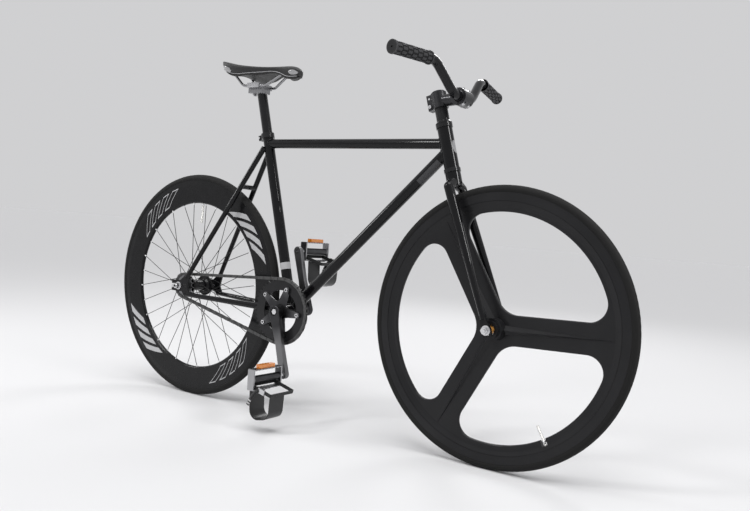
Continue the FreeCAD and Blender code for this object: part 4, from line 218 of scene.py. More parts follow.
# %% Paint the frame and fork
BLACK_PAINT, DUSTY_PAINT, PALE_PAINT = (0.004, 0.004, 0.0048), (0.011, 0.011, 0.012), (0.55, 0.55, 0.56)
PANEL_GREY, OVAL_GREY = (0.07, 0.07, 0.073), (0.4, 0.4, 0.41)
GLOSS_IOR = 1.26
CRANK, SEAT_AXIS = (-0.11966, 0, 0.302), (-0.25545, 0, 0.96682)
HEAD, HEAD_WAY, HEAD_FRONT = (0.3384, 0, 0.74893), (-0.29237, 0, 0.9563), (0.9563, 0, 0.29237)
DOWN_TOP, DOWN_WAY, DOWN_UP = (0.31992, 0, 0.72436), (0.7211, 0, 0.6928), (-0.6928, 0, 0.7211)
RING_LOW, RING_HIGH = 0.116, 0.135
PANEL_LOW, PANEL_HIGH = -0.078, -0.004
OVAL_TALL, OVAL_WIDE = 0.016, 0.009


def lacquer(name, shape=None):
    """Black paint under a clear coat, with a plain shape in another colour if one is given."""
    paint = Finish(name, BLACK_PAINT, 0.3, coat_weight=1.0, coat_roughness=0.03, coat_ior=GLOSS_IOR,
                   specular_ior_level=0.06)
    dust = paint.noise(38, 6)
    grime = paint.noise(420, 3)
    paint.set("Roughness", 0.18 + dust * 0.14 + grime * 0.06)
    colour = paint.mix(dust * 0.4, BLACK_PAINT, DUSTY_PAINT)
    if shape:
        mask, tint = shape(paint)
        colour = paint.mix(mask * (0.86 + dust * 0.12), colour, tint)
    paint.set("Base Color", colour)
    paint.bump(paint.noise(900, 1), 0.03, 0.2 * MM)
    return paint


def seat_ring(paint):
    along = paint.along(CRANK, SEAT_AXIS)
    return (along > RING_LOW) * (along < RING_HIGH), PALE_PAINT


def down_panel(paint):
    along = paint.along(DOWN_TOP, DOWN_WAY)
    below = paint.along(DOWN_TOP, DOWN_UP) < -MM
    return (along > PANEL_LOW) * (along < PANEL_HIGH) * below, PANEL_GREY


def head_oval(paint):
    tall = paint.along(HEAD, HEAD_WAY) / OVAL_TALL
    wide = paint.along(HEAD, (0, 1, 0)) / OVAL_WIDE
    return (tall * tall + wide * wide < 1) * (paint.along(HEAD, HEAD_FRONT) > 0), OVAL_GREY


frame_paint = lacquer("gloss_black_paint")
dress(frame_paint, "top_tube", "bottom_bracket_shell", "chainstays", "seatstays", "rear_dropouts",
      "fork_crown", "fork_blades")
dress(lacquer("seat_tube_paint", seat_ring), "seat_tube")
dress(lacquer("down_tube_paint", down_panel), "down_tube")
dress(lacquer("head_tube_paint", head_oval), "head_tube")

# %% [markdown]
# ## Black and grey alloy
# Stem, spacers, clamps, chainring and handlebar have a black anodised skin, satin to glossy and slightly
# mottled. A skin so dark shows little of the metal below it, so most of these are a black base under a clear
# coat, and only the stem keeps much metal. The saddle clamp and the gold locknuts are bare metal colours.

# %% Anodise the alloy pieces
METAL_SPECULAR, SKIN_SPECULAR = 0.5, 0.08


def anodised(name, colour, roughness, grain=(60, 60, 60), mottle=0.12, metallic=1.0, coat=0.0):
    """Mottled alloy with faint lines along its grain, bare or under a clear coat."""
    alloy = Finish(name, colour, roughness, metallic=metallic, coat_weight=coat,
                   coat_roughness=roughness / 2, coat_ior=GLOSS_IOR,
                   specular_ior_level=METAL_SPECULAR if metallic else SKIN_SPECULAR)
    cloud = alloy.noise(45, 5)
    lines = alloy.noise(14, 3, grain)
    pale = tuple(min(1, channel * 1.35 + 0.01) for channel in colour)
    alloy.set("Base Color", alloy.mix(cloud * 0.5 + lines * 0.35 - 0.1, colour, pale))
    alloy.set("Roughness", roughness - mottle / 2 + cloud * mottle + lines * 0.06)
    alloy.bump(lines, 0.06, 0.15 * MM)
    return alloy


dress(anodised("stem_black", (0.024, 0.024, 0.026), 0.3, metallic=0.8, coat=0.6),
      "stem", "stem_faceplate", "stem_top_cap")
dress(anodised("satin_black_alloy", (0.012, 0.012, 0.013), 0.3, metallic=0.0, coat=0.8),
      "headset_spacers", "seat_clamp", "chainring", "headset")
dress(anodised("gloss_black_alloy", (0.005, 0.005, 0.006), 0.14, mottle=0.05, metallic=0.0, coat=1.0),
      "handlebar", "rear_hub")
dress(anodised("clamp_grey", (0.3, 0.3, 0.31), 0.36), "saddle_clamp")
dress(anodised("gold_anodised", (0.83, 0.36, 0.05), 0.26), "front_hub_locknuts")

# %% [markdown]
# ## Pieces with two finishes
# Some solids join two finishes in one piece. The seatpost is glossy black below and grey at its head. The
# cranks are grey, with faint polishing lines along the arm, and the spider in the middle is darker. A pedal
# cage is dark, and paler grey on its toothed edges and outer end. A mask by place tells them apart.

# %% Shade the seatpost
POST_HEAD_LOW, POST_BLACK, POST_GREY = 0.8975, (0.008, 0.008, 0.009), (0.3, 0.3, 0.31)
post = anodised("post_black", POST_BLACK, 0.16, (160, 160, 8), 0.05, metallic=0.0, coat=1.0)
_, _, z = post.axes()
post_head = (z > POST_HEAD_LOW) * 0.85
post.set("Base Color", post.mix(post_head + post.noise(45, 5) * 0.02, POST_BLACK, POST_GREY))
post.set("Metallic", post_head)
dress(post, "seatpost")

# %% Shade the cranks
SPIDER_REACH, SPIDER_FADE = 0.04, 0.05
CRANK_GREY, SPIDER_GREY = (0.2, 0.2, 0.205), (0.03, 0.03, 0.032)
cranks = anodised("crank_grey", CRANK_GREY, 0.34, (10, 160, 22))
reach, _, _ = cranks.polar(CRANK)
fade = ((reach - SPIDER_REACH) / SPIDER_FADE).math("MAXIMUM", 0.0).math("MINIMUM", 1.0)
shade = cranks.noise(45, 5) * 0.2 + fade * 0.8
cranks.set("Base Color", cranks.mix(shade, SPIDER_GREY, CRANK_GREY))
dress(cranks, "right_crank_arm", "left_crank_arm")

# %% Shade the pedal cages
CAGE_OUTER_END, CAGE_GREY, CAGE_BRIGHT = 0.182, (0.05, 0.05, 0.053), (0.42, 0.42, 0.43)
PEDAL_RIGHT_X, PEDAL_LEFT_X, CAGE_TOOTH_REACH = -0.075656, -0.163656, 0.0104
cage = anodised("cage_grey", CAGE_GREY, 0.36)
x, y, _ = cage.axes()
from_axle = abs(x - PEDAL_RIGHT_X - (y > 0) * (PEDAL_LEFT_X - PEDAL_RIGHT_X))
# The cage turns paler grey beyond the tooth reach and past the outer end, set by place.
pale_edges = ((from_axle > CAGE_TOOTH_REACH) + (abs(y) > CAGE_OUTER_END)).math("MINIMUM", 1.0)
cage.set("Base Color", cage.mix(pale_edges * 0.85 + cage.noise(45, 5) * 0.15, CAGE_GREY, CAGE_BRIGHT))
dress(cage, "right_pedal", "left_pedal")

# %% [markdown]
# ## Steel, chain and spokes
# Nuts and bolts are bright plated steel, the saddle's rails are a duller grey, and the spokes are black with
# silver nipples. A chain is darker than its metal because oil holds dirt: the dirt gathers in soft patches,
# so the colour is mixed by noise and the patches are rougher.


# %% Make the steels
def steel(name, colour, roughness, dirt=0.0, metallic=1.0):
    """Plated or bare steel, with patches of dirt if asked."""
    metal = Finish(name, colour, roughness, metallic=metallic)
    patches = metal.noise(120, 5)
    fine = metal.noise(900, 2)
    dark = tuple(channel * 0.35 for channel in colour)
    metal.set("Base Color", metal.mix(patches * dirt + fine * 0.15, colour, dark))
    metal.set("Roughness", roughness + patches * (0.1 + dirt * 0.3) - 0.05)
    metal.bump(fine, 0.05, 0.1 * MM)
    return metal


PLATED_STEEL = (0.72, 0.72, 0.73)
dress(steel("plated_steel", PLATED_STEEL, 0.22), "rear_axle", "rear_axle_nuts", "stem_bolts",
      "front_axle", "front_axle_nuts", "crankset_bolts", "seat_clamp_bolt", "pedal_axles",
      "front_hub_bearings", "rear_hub_bearings", "crank_spindle", "bottom_bracket_cartridge", "steerer_tube")
dress(steel("chain_steel", (0.14, 0.14, 0.14), 0.34, dirt=0.7), "chain")
dress(steel("sprocket_steel", (0.3, 0.3, 0.31), 0.32, dirt=0.5), "fixed_cog", "cog_lockring")
dress(steel("black_spoke_steel", (0.02, 0.02, 0.02), 0.3), "rear_spokes")
dress(steel("rail_steel", (0.34, 0.34, 0.35), 0.26), "saddle_rails")
dress(steel("nipple_plating", (0.92, 0.92, 0.93), 0.4, metallic=0.35), "spoke_nipples")

# %% [markdown]
# ## Wheels
# The front wheel is a moulded composite with a satin charcoal skin, a little cloudy where the resin flowed.
# The rear rim is deep and black, with four groups of plain slanted bars, filled and outlined by turns. Bars
# could be thin pieces on the rim, but they have no thickness, so they are drawn in the finish by the angle
# and distance from the axle.

# %% Mould the front wheel
composite = Finish("charcoal_composite", (0.012, 0.012, 0.013), 0.4, coat_weight=0.6, coat_roughness=0.14,
                   coat_ior=GLOSS_IOR, specular_ior_level=0.14)
flow = composite.noise(9, 6)
skin = composite.noise(700, 2)
composite.set("Base Color", composite.mix(flow, (0.007, 0.007, 0.0078), (0.018, 0.018, 0.0195)))
composite.set("Roughness", 0.3 + flow * 0.16 + skin * 0.05)
composite.bump(skin, 0.08, 0.2 * MM)
dress(composite, "tri_spoke_wheel")

# %% Draw the rim's bars
REAR_AXLE, FRONT_AXLE = (-0.505, 0, 0.334), (0.505, 0, 0.334)
GROUPS, BAR_PITCH, BAR_SLANT = 4, 0.15, 5.5
BAR_LOW, BAR_HIGH, BAR_HALF, BAR_LINE = 0.262, 0.302, 0.31, 0.06
LINE_DEPTH, GROUP_BARS = 0.0025, 4
rim_black = Finish("rim_black", (0.006, 0.006, 0.0065), 0.28, coat_weight=0.5, coat_roughness=0.1,
                   coat_ior=GLOSS_IOR, specular_ior_level=0.12)
reach, bearing, _ = rim_black.polar(REAR_AXLE)
turn = (bearing + (reach - BAR_LOW) * BAR_SLANT) * (GROUPS / math.tau) + GROUPS
part = turn.math("FRACT") - 0.5
outlined = ((turn - turn.math("FRACT")) * 0.5).math("FRACT") > 0.25
step = part * (math.tau / GROUPS / BAR_PITCH) + 0.5 * (GROUP_BARS % 2) + GROUPS * 10
across = abs(step.math("FRACT") - 0.5)
in_group = abs(part) * (math.tau / GROUPS) < BAR_PITCH * GROUP_BARS / 2
bar = (across < BAR_HALF) * (reach > BAR_LOW) * (reach < BAR_HIGH) * in_group
heart = (across < BAR_HALF - BAR_LINE) * (reach > BAR_LOW + LINE_DEPTH) * (reach < BAR_HIGH - LINE_DEPTH)
bars = bar - bar * heart * outlined
scuff = rim_black.noise(55, 5)
base = rim_black.mix(scuff * 0.5, (0.005, 0.005, 0.0055), (0.013, 0.013, 0.014))
rim_black.set("Base Color", rim_black.mix(bars * (0.85 + scuff * 0.15), base, PALE_PAINT))
rim_black.set("Roughness", 0.2 + scuff * 0.14 + bars * 0.15)
rim_black.bump(bars, 0.2, 0.05 * MM)
dress(rim_black, "rear_rim")

# %% [markdown]
# ## Tyres and inner tubes
# The tyres have a fine file tread on the crown and thin rings on the sidewall. Sine waves of the angle, the
# distance from the axle and the offset along it give both. An inner tube is rubber, and its valve is a
# threaded metal stem where it comes through the rim, told apart by the distance from the axle.

# %% Cut the tyre tread
TREAD_WAVES, TREAD_LINES, SIDEWALL_RINGS = 420, 3600, 2600
CROWN_REACH, TREAD_EDGE, RING_EDGE = 0.3295, 0.15, 0.6


def tyre_rubber(name, axle):
    """Dusty rubber with a file tread and rings about an axle."""
    rubber = Finish(name, (0.008, 0.008, 0.008), 0.72, specular_ior_level=0.22)
    reach, bearing, offset = rubber.polar(axle)
    wave = (bearing * TREAD_WAVES).math("SINE")
    lines = (offset * TREAD_LINES).math("SINE")
    crown = reach > CROWN_REACH
    file_tread = (wave * lines > TREAD_EDGE) * crown
    rings = ((reach * SIDEWALL_RINGS).math("SINE") > RING_EDGE) * (1 - crown)
    dust = rubber.noise(60, 6)
    rubber.set("Base Color", rubber.mix(dust * 0.55 + crown * 0.25, (0.006, 0.006, 0.006),
                                        (0.019, 0.0185, 0.018)))
    rubber.set("Roughness", 0.6 + dust * 0.25)
    rubber.bump(file_tread + rings * 0.5 + rubber.noise(900, 2) * 0.3, 0.5, 0.35 * MM)
    return rubber


dress(tyre_rubber("front_tread", FRONT_AXLE), "front_tyre")
dress(tyre_rubber("rear_tread", REAR_AXLE), "rear_tyre")

# %% Rubber the inner tubes
VALVE_METAL_REACH, VALVE_THREADS = 0.302, 6300


def tube_rubber(name, axle):
    """Rubber outside the rim and bright threaded metal where the valve comes through it."""
    tube = Finish(name, (0.01, 0.01, 0.01), 0.6)
    reach, _, _ = tube.polar(axle)
    metal = reach < VALVE_METAL_REACH
    thread = (reach * VALVE_THREADS).math("SINE") * metal
    wear = tube.noise(300, 3)
    tube.set("Base Color", tube.mix(metal, (0.01, 0.01, 0.01), (0.75, 0.74, 0.71)))
    tube.set("Metallic", metal)
    tube.set("Roughness", 0.62 - metal * 0.38 + wear * 0.08)
    tube.bump(thread + wear * 0.2, 0.5, 0.4 * MM)
    return tube


dress(tube_rubber("front_tube_rubber", FRONT_AXLE), "front_inner_tube")
dress(tube_rubber("rear_tube_rubber", REAR_AXLE), "rear_inner_tube")

# %% [markdown]
# ## Pedal pieces
# The reflectors are amber plastic with small prisms behind a smooth face. The toe clips and the saddle's
# shell are black moulded plastic. The straps are woven, so their bump is a fine over-and-under weave, and the
# buckle on each strap's outer side is steel, found by its distance from the bike's middle.

# %% Finish the reflectors
amber = Finish("amber_reflector", (0.86, 0.2, 0.015), 0.16, coat_weight=1.0, coat_roughness=0.03)
prisms = amber.cells(330)
amber.set("Base Color", amber.mix(prisms * 1.1, (1.0, 0.42, 0.05), (0.78, 0.17, 0.012)))
amber.bump(prisms, 0.5, 0.6 * MM)
dress(amber, "right_pedal_reflector", "left_pedal_reflector")


# %% Mould the clips and the saddle's shell
def moulded(name, colour, roughness):
    """Moulded plastic with a fine grain and pale wear."""
    plastic = Finish(name, colour, roughness, specular_ior_level=0.5)
    grain = plastic.noise(1100, 3)
    wear = plastic.noise(30, 5)
    pale = tuple(channel * 1.9 + 0.006 for channel in colour)
    plastic.set("Base Color", plastic.mix(wear * 0.6, colour, pale))
    plastic.set("Roughness", roughness - 0.06 + wear * 0.12)
    plastic.bump(grain, 0.12, 0.25 * MM)
    return plastic


dress(moulded("clip_plastic", (0.008, 0.008, 0.0085), 0.34), "right_toe_clip", "left_toe_clip")
dress(moulded("shell_plastic", (0.004, 0.004, 0.004), 0.46), "saddle_shell")

# %% Weave the straps
STRAP_OUTER, STITCH_WHITE, BUCKLE_STEEL = 0.18105, (0.6, 0.6, 0.6), (0.6, 0.6, 0.61)
WEAVE_WAVES = 3900


def webbing(name, stripes=(), buckle_from=None):
    """Woven band, with pale stripes across it or a steel buckle beyond a distance if asked."""
    weave = Finish(name, (0.02, 0.02, 0.021), 0.8, specular_ior_level=0.25, sheen_weight=0.25)
    x, y, z = weave.axes()
    threads_x, threads_y, threads_z = [(axis * WEAVE_WAVES).math("SINE") for axis in (x, y, z)]
    over = threads_x * threads_z + threads_y * threads_z
    fuzz = weave.noise(300, 4)
    colour = weave.mix(fuzz, (0.008, 0.008, 0.0085), (0.026, 0.026, 0.027))
    for start, way, low, high in stripes:
        reach = weave.along(start, way)
        colour = weave.mix((reach > low) * (reach < high), colour, STITCH_WHITE)
    if buckle_from:
        metal = abs(y) > buckle_from
        colour = weave.mix(metal, colour, BUCKLE_STEEL)
        over = over * (1 - metal)
        weave.set("Metallic", metal)
        weave.set("Roughness", 0.8 - metal * 0.5)
    weave.set("Base Color", colour)
    weave.bump(over, 0.4, 0.3 * MM)
    return weave


dress(webbing("strap_webbing", buckle_from=STRAP_OUTER), "right_toe_strap", "left_toe_strap")

# %% [markdown]
# ## Rubber grips
# Each grip is a sleeve with rows of small blocks, a lip at its inner end and a disc at its outer end. A
# cylinder could carry the blocks as a bump, but their edges show against the light, so they are real: rings
# are extruded along the bar, and groups of four faces are inset and raised into blocks.


# %% Make a piece and extrude its rings
def new_piece(name, mesh_maker, body, finish, smooth=True):
    """Make an object from a bmesh, give it a finish and let it ride on a body."""
    mesh = bpy.data.meshes.new(name)
    mesh_maker.to_mesh(mesh)
    mesh_maker.free()
    mesh.materials.append(finish.material)
    piece = bpy.data.objects.new(name, mesh)
    bpy.context.collection.objects.link(piece)
    if smooth:
        mesh.polygons.foreach_set("use_smooth", [True] * len(mesh.polygons))
    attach(piece, body)
    return piece


def extrude_ring(maker, edges, step, radius_change=None, centre=None):
    """Extrude an edge loop, move it along, and scale it about the axis point if asked."""
    made = bmesh.ops.extrude_edge_only(maker, edges=edges)["geom"]
    verts = [g for g in made if isinstance(g, bmesh.types.BMVert)]
    rim = [g for g in made if isinstance(g, bmesh.types.BMEdge)]
    faces = [g for g in made if isinstance(g, bmesh.types.BMFace)]
    bmesh.ops.translate(maker, vec=step, verts=verts)
    if radius_change:
        shift = Matrix.Translation(-centre)
        bmesh.ops.scale(maker, vec=(radius_change,) * 3, space=shift, verts=verts)
    return rim, faces


print("piece helpers ready")

# %% Extrude the grip sleeves
GRIP_SIDES, GRIP_ROWS, BLOCK_SIDES = 36, 7, 4
GRIP_INNER = Vector((0.34719, 0.13343, 0.92779))
GRIP_OUTER = Vector((0.33003, 0.25701, 0.92007))
GRIP_BASE, GRIP_BLOCK, GRIP_LIP, GRIP_DISC = 12.6 * MM, 1.4 * MM, 15.4 * MM, 15.2 * MM
GRIP_LIP_LENGTH, GRIP_DISC_LENGTH, GRIP_HOLE = 4 * MM, 4 * MM, 2.2 * MM
HOLE_DRAFT, HOLE_DEPTH = 0.2 * MM, 2 * MM
grips = bmesh.new()
grip_axis = (GRIP_OUTER - GRIP_INNER).normalized()
facing = grip_axis.to_track_quat("Z", "Y").to_matrix().to_4x4()
ring = bmesh.ops.create_circle(grips, segments=GRIP_SIDES, radius=GRIP_LIP,
                               matrix=Matrix.Translation(GRIP_INNER) @ facing)["verts"]
loop = list({edge for vert in ring for edge in vert.link_edges})
total = (GRIP_OUTER - GRIP_INNER).length
row = (total - GRIP_LIP_LENGTH - GRIP_DISC_LENGTH) / GRIP_ROWS
spot = GRIP_INNER.copy()
loop, _ = extrude_ring(grips, loop, grip_axis * GRIP_LIP_LENGTH)
spot += grip_axis * GRIP_LIP_LENGTH
loop, _ = extrude_ring(grips, loop, Vector(), GRIP_BASE / GRIP_LIP, spot)
rows = []
for number in range(GRIP_ROWS):
    loop, faces = extrude_ring(grips, loop, grip_axis * row)
    rows.append(faces)
spot += grip_axis * row * GRIP_ROWS
loop, _ = extrude_ring(grips, loop, Vector(), GRIP_DISC / GRIP_BASE, spot)
loop, _ = extrude_ring(grips, loop, grip_axis * GRIP_DISC_LENGTH)
cap = bmesh.ops.edgeloop_fill(grips, edges=loop)["faces"]
bmesh.ops.recalc_face_normals(grips, faces=grips.faces)
bmesh.ops.inset_individual(grips, faces=cap, thickness=GRIP_DISC - GRIP_HOLE, depth=0)
bmesh.ops.inset_individual(grips, faces=cap, thickness=HOLE_DRAFT, depth=-HOLE_DEPTH)
print("grip rows", len(rows), "of", round(row / MM, 1), "mm")

# %% Raise the grips' blocks
BLOCK_GAP, BLOCK_DRAFT = 1.5 * MM, 0.4 * MM


def round_grip(point):
    """The angle of a point about the grip's axis."""
    local = facing.inverted() @ (point - GRIP_INNER)
    return math.atan2(local.y, local.x)


for number, faces in enumerate(rows):
    faces.sort(key=lambda face: round_grip(face.calc_center_median()))
    shift = number % 2 * (BLOCK_SIDES // 2)
    turned = faces[shift:] + faces[:shift]
    for first in range(0, GRIP_SIDES, BLOCK_SIDES):
        block = turned[first:first + BLOCK_SIDES]
        bmesh.ops.inset_region(grips, faces=block, thickness=BLOCK_GAP, use_even_offset=True)
        bmesh.ops.inset_region(grips, faces=block, thickness=BLOCK_DRAFT, depth=GRIP_BLOCK,
                               use_even_offset=True)
bmesh.ops.mirror(grips, geom=grips.verts[:] + grips.edges[:] + grips.faces[:], axis="Y", merge_dist=-1)
bmesh.ops.recalc_face_normals(grips, faces=grips.faces)
print("grip faces", len(grips.faces))

# %% Finish the grips
GROOVE_PAINTED_SHADE, BLOCK_BLACK = (0.008, 0.008, 0.009), (0.055, 0.055, 0.058)
grip_rubber = Finish("grip_rubber", (0.03, 0.03, 0.032), 0.7, specular_ior_level=0.35)
handled = grip_rubber.noise(50, 5)
x, y, z = grip_rubber.axes()
offsets = (x - GRIP_INNER.x, abs(y) - GRIP_INNER.y, z - GRIP_INNER.z)
run = offsets[0] * grip_axis.x + offsets[1] * grip_axis.y + offsets[2] * grip_axis.z
away = sum(part * part for part in offsets) - run * run
clear_of_groove_shade = away > (GRIP_BASE + GRIP_BLOCK / 2) ** 2
# The grooves between the blocks are painted near black, much darker than the blocks' rubber: painted shade in
# the recesses.
grip_rubber.set("Base Color", grip_rubber.mix(clear_of_groove_shade * (0.75 + handled * 0.25), GROOVE_PAINTED_SHADE, BLOCK_BLACK))
grip_rubber.set("Roughness", 0.55 + handled * 0.25)
grip_rubber.bump(grip_rubber.noise(1400, 2), 0.15, 0.2 * MM)
grip_piece = new_piece("grip_sleeves", grips, "steering", grip_rubber, smooth=False)
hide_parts("handlebar_grips")
print("made", grip_piece.name)

# %% [markdown]
# ## Saddle cover
# The saddle is a thin firm pad under a black cover, narrow and deep at the nose, thin in the middle, with
# wings that turn up at the tail. It is lofted from closed rings: each ring starts as a circle and is drawn to
# the section's outline, then neighbours are bridged and the ends filled. Subdivision rounds it.

# %% Draw the saddle's sections
RAIL_BASE = Vector((-0.28906, 0, 0.91760))
NOSE_X, SADDLE_LENGTH, HALF_WIDTH = RAIL_BASE.x + 0.153, 0.247, 0.069
SADDLE_HEIGHT, CROWN, DISH, TUCK, BULGE = 0.045, 0.006, 0.008, 0.9, 0.0025
TOP_END, SIDE_END, UNDER_END = 0.4, 0.5, 0.9
# Each section: place from the nose, width, lower edge, upper edge, dome of the top, hollow below
SECTIONS = (
    (0.0, 0.1, 0.6, 0.76, 0.4, 0.05), (0.03, 0.18, 0.46, 0.91, 0.7, 0.1), (0.1, 0.26, 0.42, 1.0, 1.0, 0.3),
    (0.17, 0.31, 0.47, 1.01, 1.0, 0.4), (0.24, 0.36, 0.66, 1.0, 1.0, 0.6), (0.32, 0.44, 0.75, 0.99, 1.0, 0.7),
    (0.46, 0.63, 0.66, 0.97, 1.0, 0.9), (0.6, 0.83, 0.6, 1.0, 1.0, 1.0), (0.74, 0.97, 0.5, 1.07, 1.0, 1.0),
    (0.88, 1.0, 0.65, 1.24, 0.8, 0.8), (0.96, 0.9, 0.87, 1.37, 0.6, 0.4), (1.0, 0.76, 1.04, 1.41, 0.4, 0.1),
)


def section_point(share, section):
    """A point of one closed section: over the top, down a side, back under the hollow and up."""
    place, width, lower, upper, dome, hollow = section
    half = width * HALF_WIDTH
    foot = half * TUCK
    low = RAIL_BASE.z + lower * SADDLE_HEIGHT
    high = RAIL_BASE.z + upper * SADDLE_HEIGHT
    x = NOSE_X - place * SADDLE_LENGTH
    if share < TOP_END:
        run = share / TOP_END * 2 - 1
        return Vector((x, run * half, high + dome * CROWN * (1 - run * run)))
    if share < SIDE_END:
        run = (share - TOP_END) / (SIDE_END - TOP_END)
        wide = half + (foot - half) * run + 4 * run * (1 - run) * width * BULGE
        return Vector((x, wide, high + (low - high) * run))
    if share < UNDER_END:
        run = 1 - (share - SIDE_END) / (UNDER_END - SIDE_END) * 2
        return Vector((x, run * foot, low + hollow * DISH * (1 - run * run)))
    run = (share - UNDER_END) / (1 - UNDER_END)
    wide = foot + (half - foot) * run + 4 * run * (1 - run) * width * BULGE
    return Vector((x, -wide, low + (high - low) * run))


print("saddle sections", len(SECTIONS))

# %% Loft the saddle cover
RING = 48
cover = bmesh.new()
rings = []
for section in SECTIONS:
    verts = bmesh.ops.create_circle(cover, segments=RING, radius=HALF_WIDTH)["verts"]
    for number, vert in enumerate(verts):
        vert.co = section_point(number / RING, section)
    rings.append(list({edge for vert in verts for edge in vert.link_edges}))
for ahead, behind in zip(rings, rings[1:]):
    bmesh.ops.bridge_loops(cover, edges=ahead + behind)
for end in (rings[0], rings[-1]):
    bmesh.ops.edgeloop_fill(cover, edges=end)
bmesh.ops.recalc_face_normals(cover, faces=cover.faces)
print("cover faces", len(cover.faces))

# %% Finish the saddle cover
COVER_LEVELS, COVER_FILL = 3, 0.9
leather = Finish("saddle_leather", (0.012, 0.012, 0.013), 0.42, specular_ior_level=0.45, sheen_weight=0.1)
grain = leather.cells(900)
creases = leather.noise(120, 5)
rub = leather.noise(16, 4)
leather.set("Base Color", leather.mix(rub, (0.005, 0.005, 0.0055), (0.014, 0.014, 0.015)))
leather.set("Roughness", 0.34 + rub * 0.16 + creases * 0.08)
leather.bump(grain * 0.6 + creases * 0.6, 0.35, 0.4 * MM)
saddle_cover = new_piece("saddle_cover", cover, "seat", leather)
smooth = saddle_cover.modifiers.new("smooth", "SUBSURF")
smooth.levels = smooth.render_levels = COVER_LEVELS
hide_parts("saddle_pad")
print("made", saddle_cover.name)

# %% [markdown]
# ## Saddle bumpers and edge line
# Glossy grey guards wrap the rear corners and the nose, where a saddle rubs on walls, and a thin pale piping
# follows its lower edge. The guards are cut from the cover's own smoothed surface and thickened outward, so
# they follow it exactly. The piping is a fine tube along the sections' lower corners.

# %% Smooth a copy of the cover
bpy.context.view_layer.update()
smoothed = saddle_cover.evaluated_get(bpy.context.evaluated_depsgraph_get())
guard_mesh = bpy.data.meshes.new_from_object(smoothed)


def side_share(place, z):
    """How far up the side of the cover a height is, at a place along its length."""
    for ahead, behind in zip(SECTIONS, SECTIONS[1:]):
        if ahead[0] <= place <= behind[0]:
            run = (place - ahead[0]) / (behind[0] - ahead[0])
            low = ahead[2] + (behind[2] - ahead[2]) * run
            high = ahead[3] + (behind[3] - ahead[3]) * run
            return ((z - RAIL_BASE.z) / SADDLE_HEIGHT - low) / (high - low)
    return 2.0


print("smoothed faces", len(guard_mesh.polygons))

# %% Cut the guards from it
# Each guard: place along the saddle, half length, height up the side, half height
GUARDS = ((0.885, 0.085, 0.3, 0.3), (0.075, 0.06, 0.5, 0.28))
GUARD_FACING, GUARD_SMOOTHING, GUARD_THICK = 0.2, 8, 0.9 * MM
guards = bmesh.new()
guards.from_mesh(guard_mesh)
spare = []
for face in guards.faces:
    middle = face.calc_center_median()
    place = (NOSE_X - middle.x) / SADDLE_LENGTH
    rise = side_share(place, middle.z)
    outward = abs(face.normal.y) > GUARD_FACING
    inside = [((place - at) / run) ** 2 + ((rise - height) / tall) ** 2 < 1
              for at, run, height, tall in GUARDS]
    if not (outward and any(inside)):
        spare.append(face)
bmesh.ops.delete(guards, geom=spare, context="FACES")
loose = [vert for vert in guards.verts if vert.is_boundary]
for _ in range(GUARD_SMOOTHING):
    bmesh.ops.smooth_vert(guards, verts=loose, factor=0.5, use_axis_x=True, use_axis_y=True,
                          use_axis_z=True)
bmesh.ops.solidify(guards, geom=guards.faces[:], thickness=-GUARD_THICK)
gloss_grey = Finish("guard_grey", (0.2, 0.2, 0.205), 0.16, coat_weight=1.0, coat_roughness=0.05)
scratches = gloss_grey.noise(25, 6, (1, 6, 6))
gloss_grey.set("Base Color", gloss_grey.mix(scratches * 0.7, (0.26, 0.26, 0.265), (0.46, 0.46, 0.47)))
gloss_grey.set("Roughness", 0.1 + scratches * 0.16)
guard_piece = new_piece("saddle_guards", guards, "seat", gloss_grey)
print("guard faces", len(guard_piece.data.polygons))


# %% Run the piping
def piping(name, points, radius, body, finish, closed=False):
    """A fine tube through a row of points, turned into a mesh."""
    line = bpy.data.curves.new(name, "CURVE")
    line.dimensions = "3D"
    line.bevel_depth = radius
    line.bevel_resolution = 2
    line.use_fill_caps = True
    spline = line.splines.new("NURBS")
    spline.points.add(len(points) - 1)
    for knot, point in zip(spline.points, points):
        knot.co = (*point, 1)
    spline.order_u = 3
    spline.use_endpoint_u = not closed
    spline.use_cyclic_u = closed
    holder = bpy.data.objects.new(name + "_line", line)
    mesh = bpy.data.meshes.new_from_object(holder)
    bpy.data.objects.remove(holder)
    tube = bmesh.new()
    tube.from_mesh(mesh)
    bmesh.ops.recalc_face_normals(tube, faces=tube.faces)
    return new_piece(name, tube, body, finish)


PIPING_OUT, PIPING_UP, PIPING_RADIUS = 0.6 * MM, 1.2 * MM, 0.8 * MM
edge_line = moulded("edge_line", (0.34, 0.34, 0.35), 0.4)
corners = [section_point(SIDE_END, section) for section in SECTIONS[1:-1]]
for name, side in (("right_piping", -1), ("left_piping", 1)):
    points = [Vector((spot.x, side * (spot.y + PIPING_OUT), spot.z + PIPING_UP)) for spot in corners]
    piping(name, points, PIPING_RADIUS, "seat", edge_line)
print("piping through", len(corners), "points a side")

# %% [markdown]
# ## Weld beads
# A steel frame's tubes meet in small fillets of weld under the paint. The line where one round tube runs
# into another is found by sliding points of the first tube's outline along it until they reach the second
# tube's surface. A tube of bead follows that line.

# %% Lay the weld beads
WELD_STEPS, BEAD, STAY_BEAD, MID_TUBE = 40, 2 * MM, 1.8 * MM, 0.3
HEAD_RADIUS, SHELL_RADIUS, SEAT_RADIUS = 18.4 * MM, 20 * MM, 14.3 * MM
TOP_RADIUS, DOWN_RADIUS, STAY_RADIUS = 12.7 * MM, 14.3 * MM, 9.6 * MM
TOP_MIDDLE, ACROSS = (0, 0, 0.76), (0, 1, 0)
STAY_X, STAY_Y, STAY_Z = -0.3, 0.0426, 0.30641
STAY_WAY_X, STAY_WAY_Y, STAY_WAY_Z = 0.9933, -0.1131, -0.0254


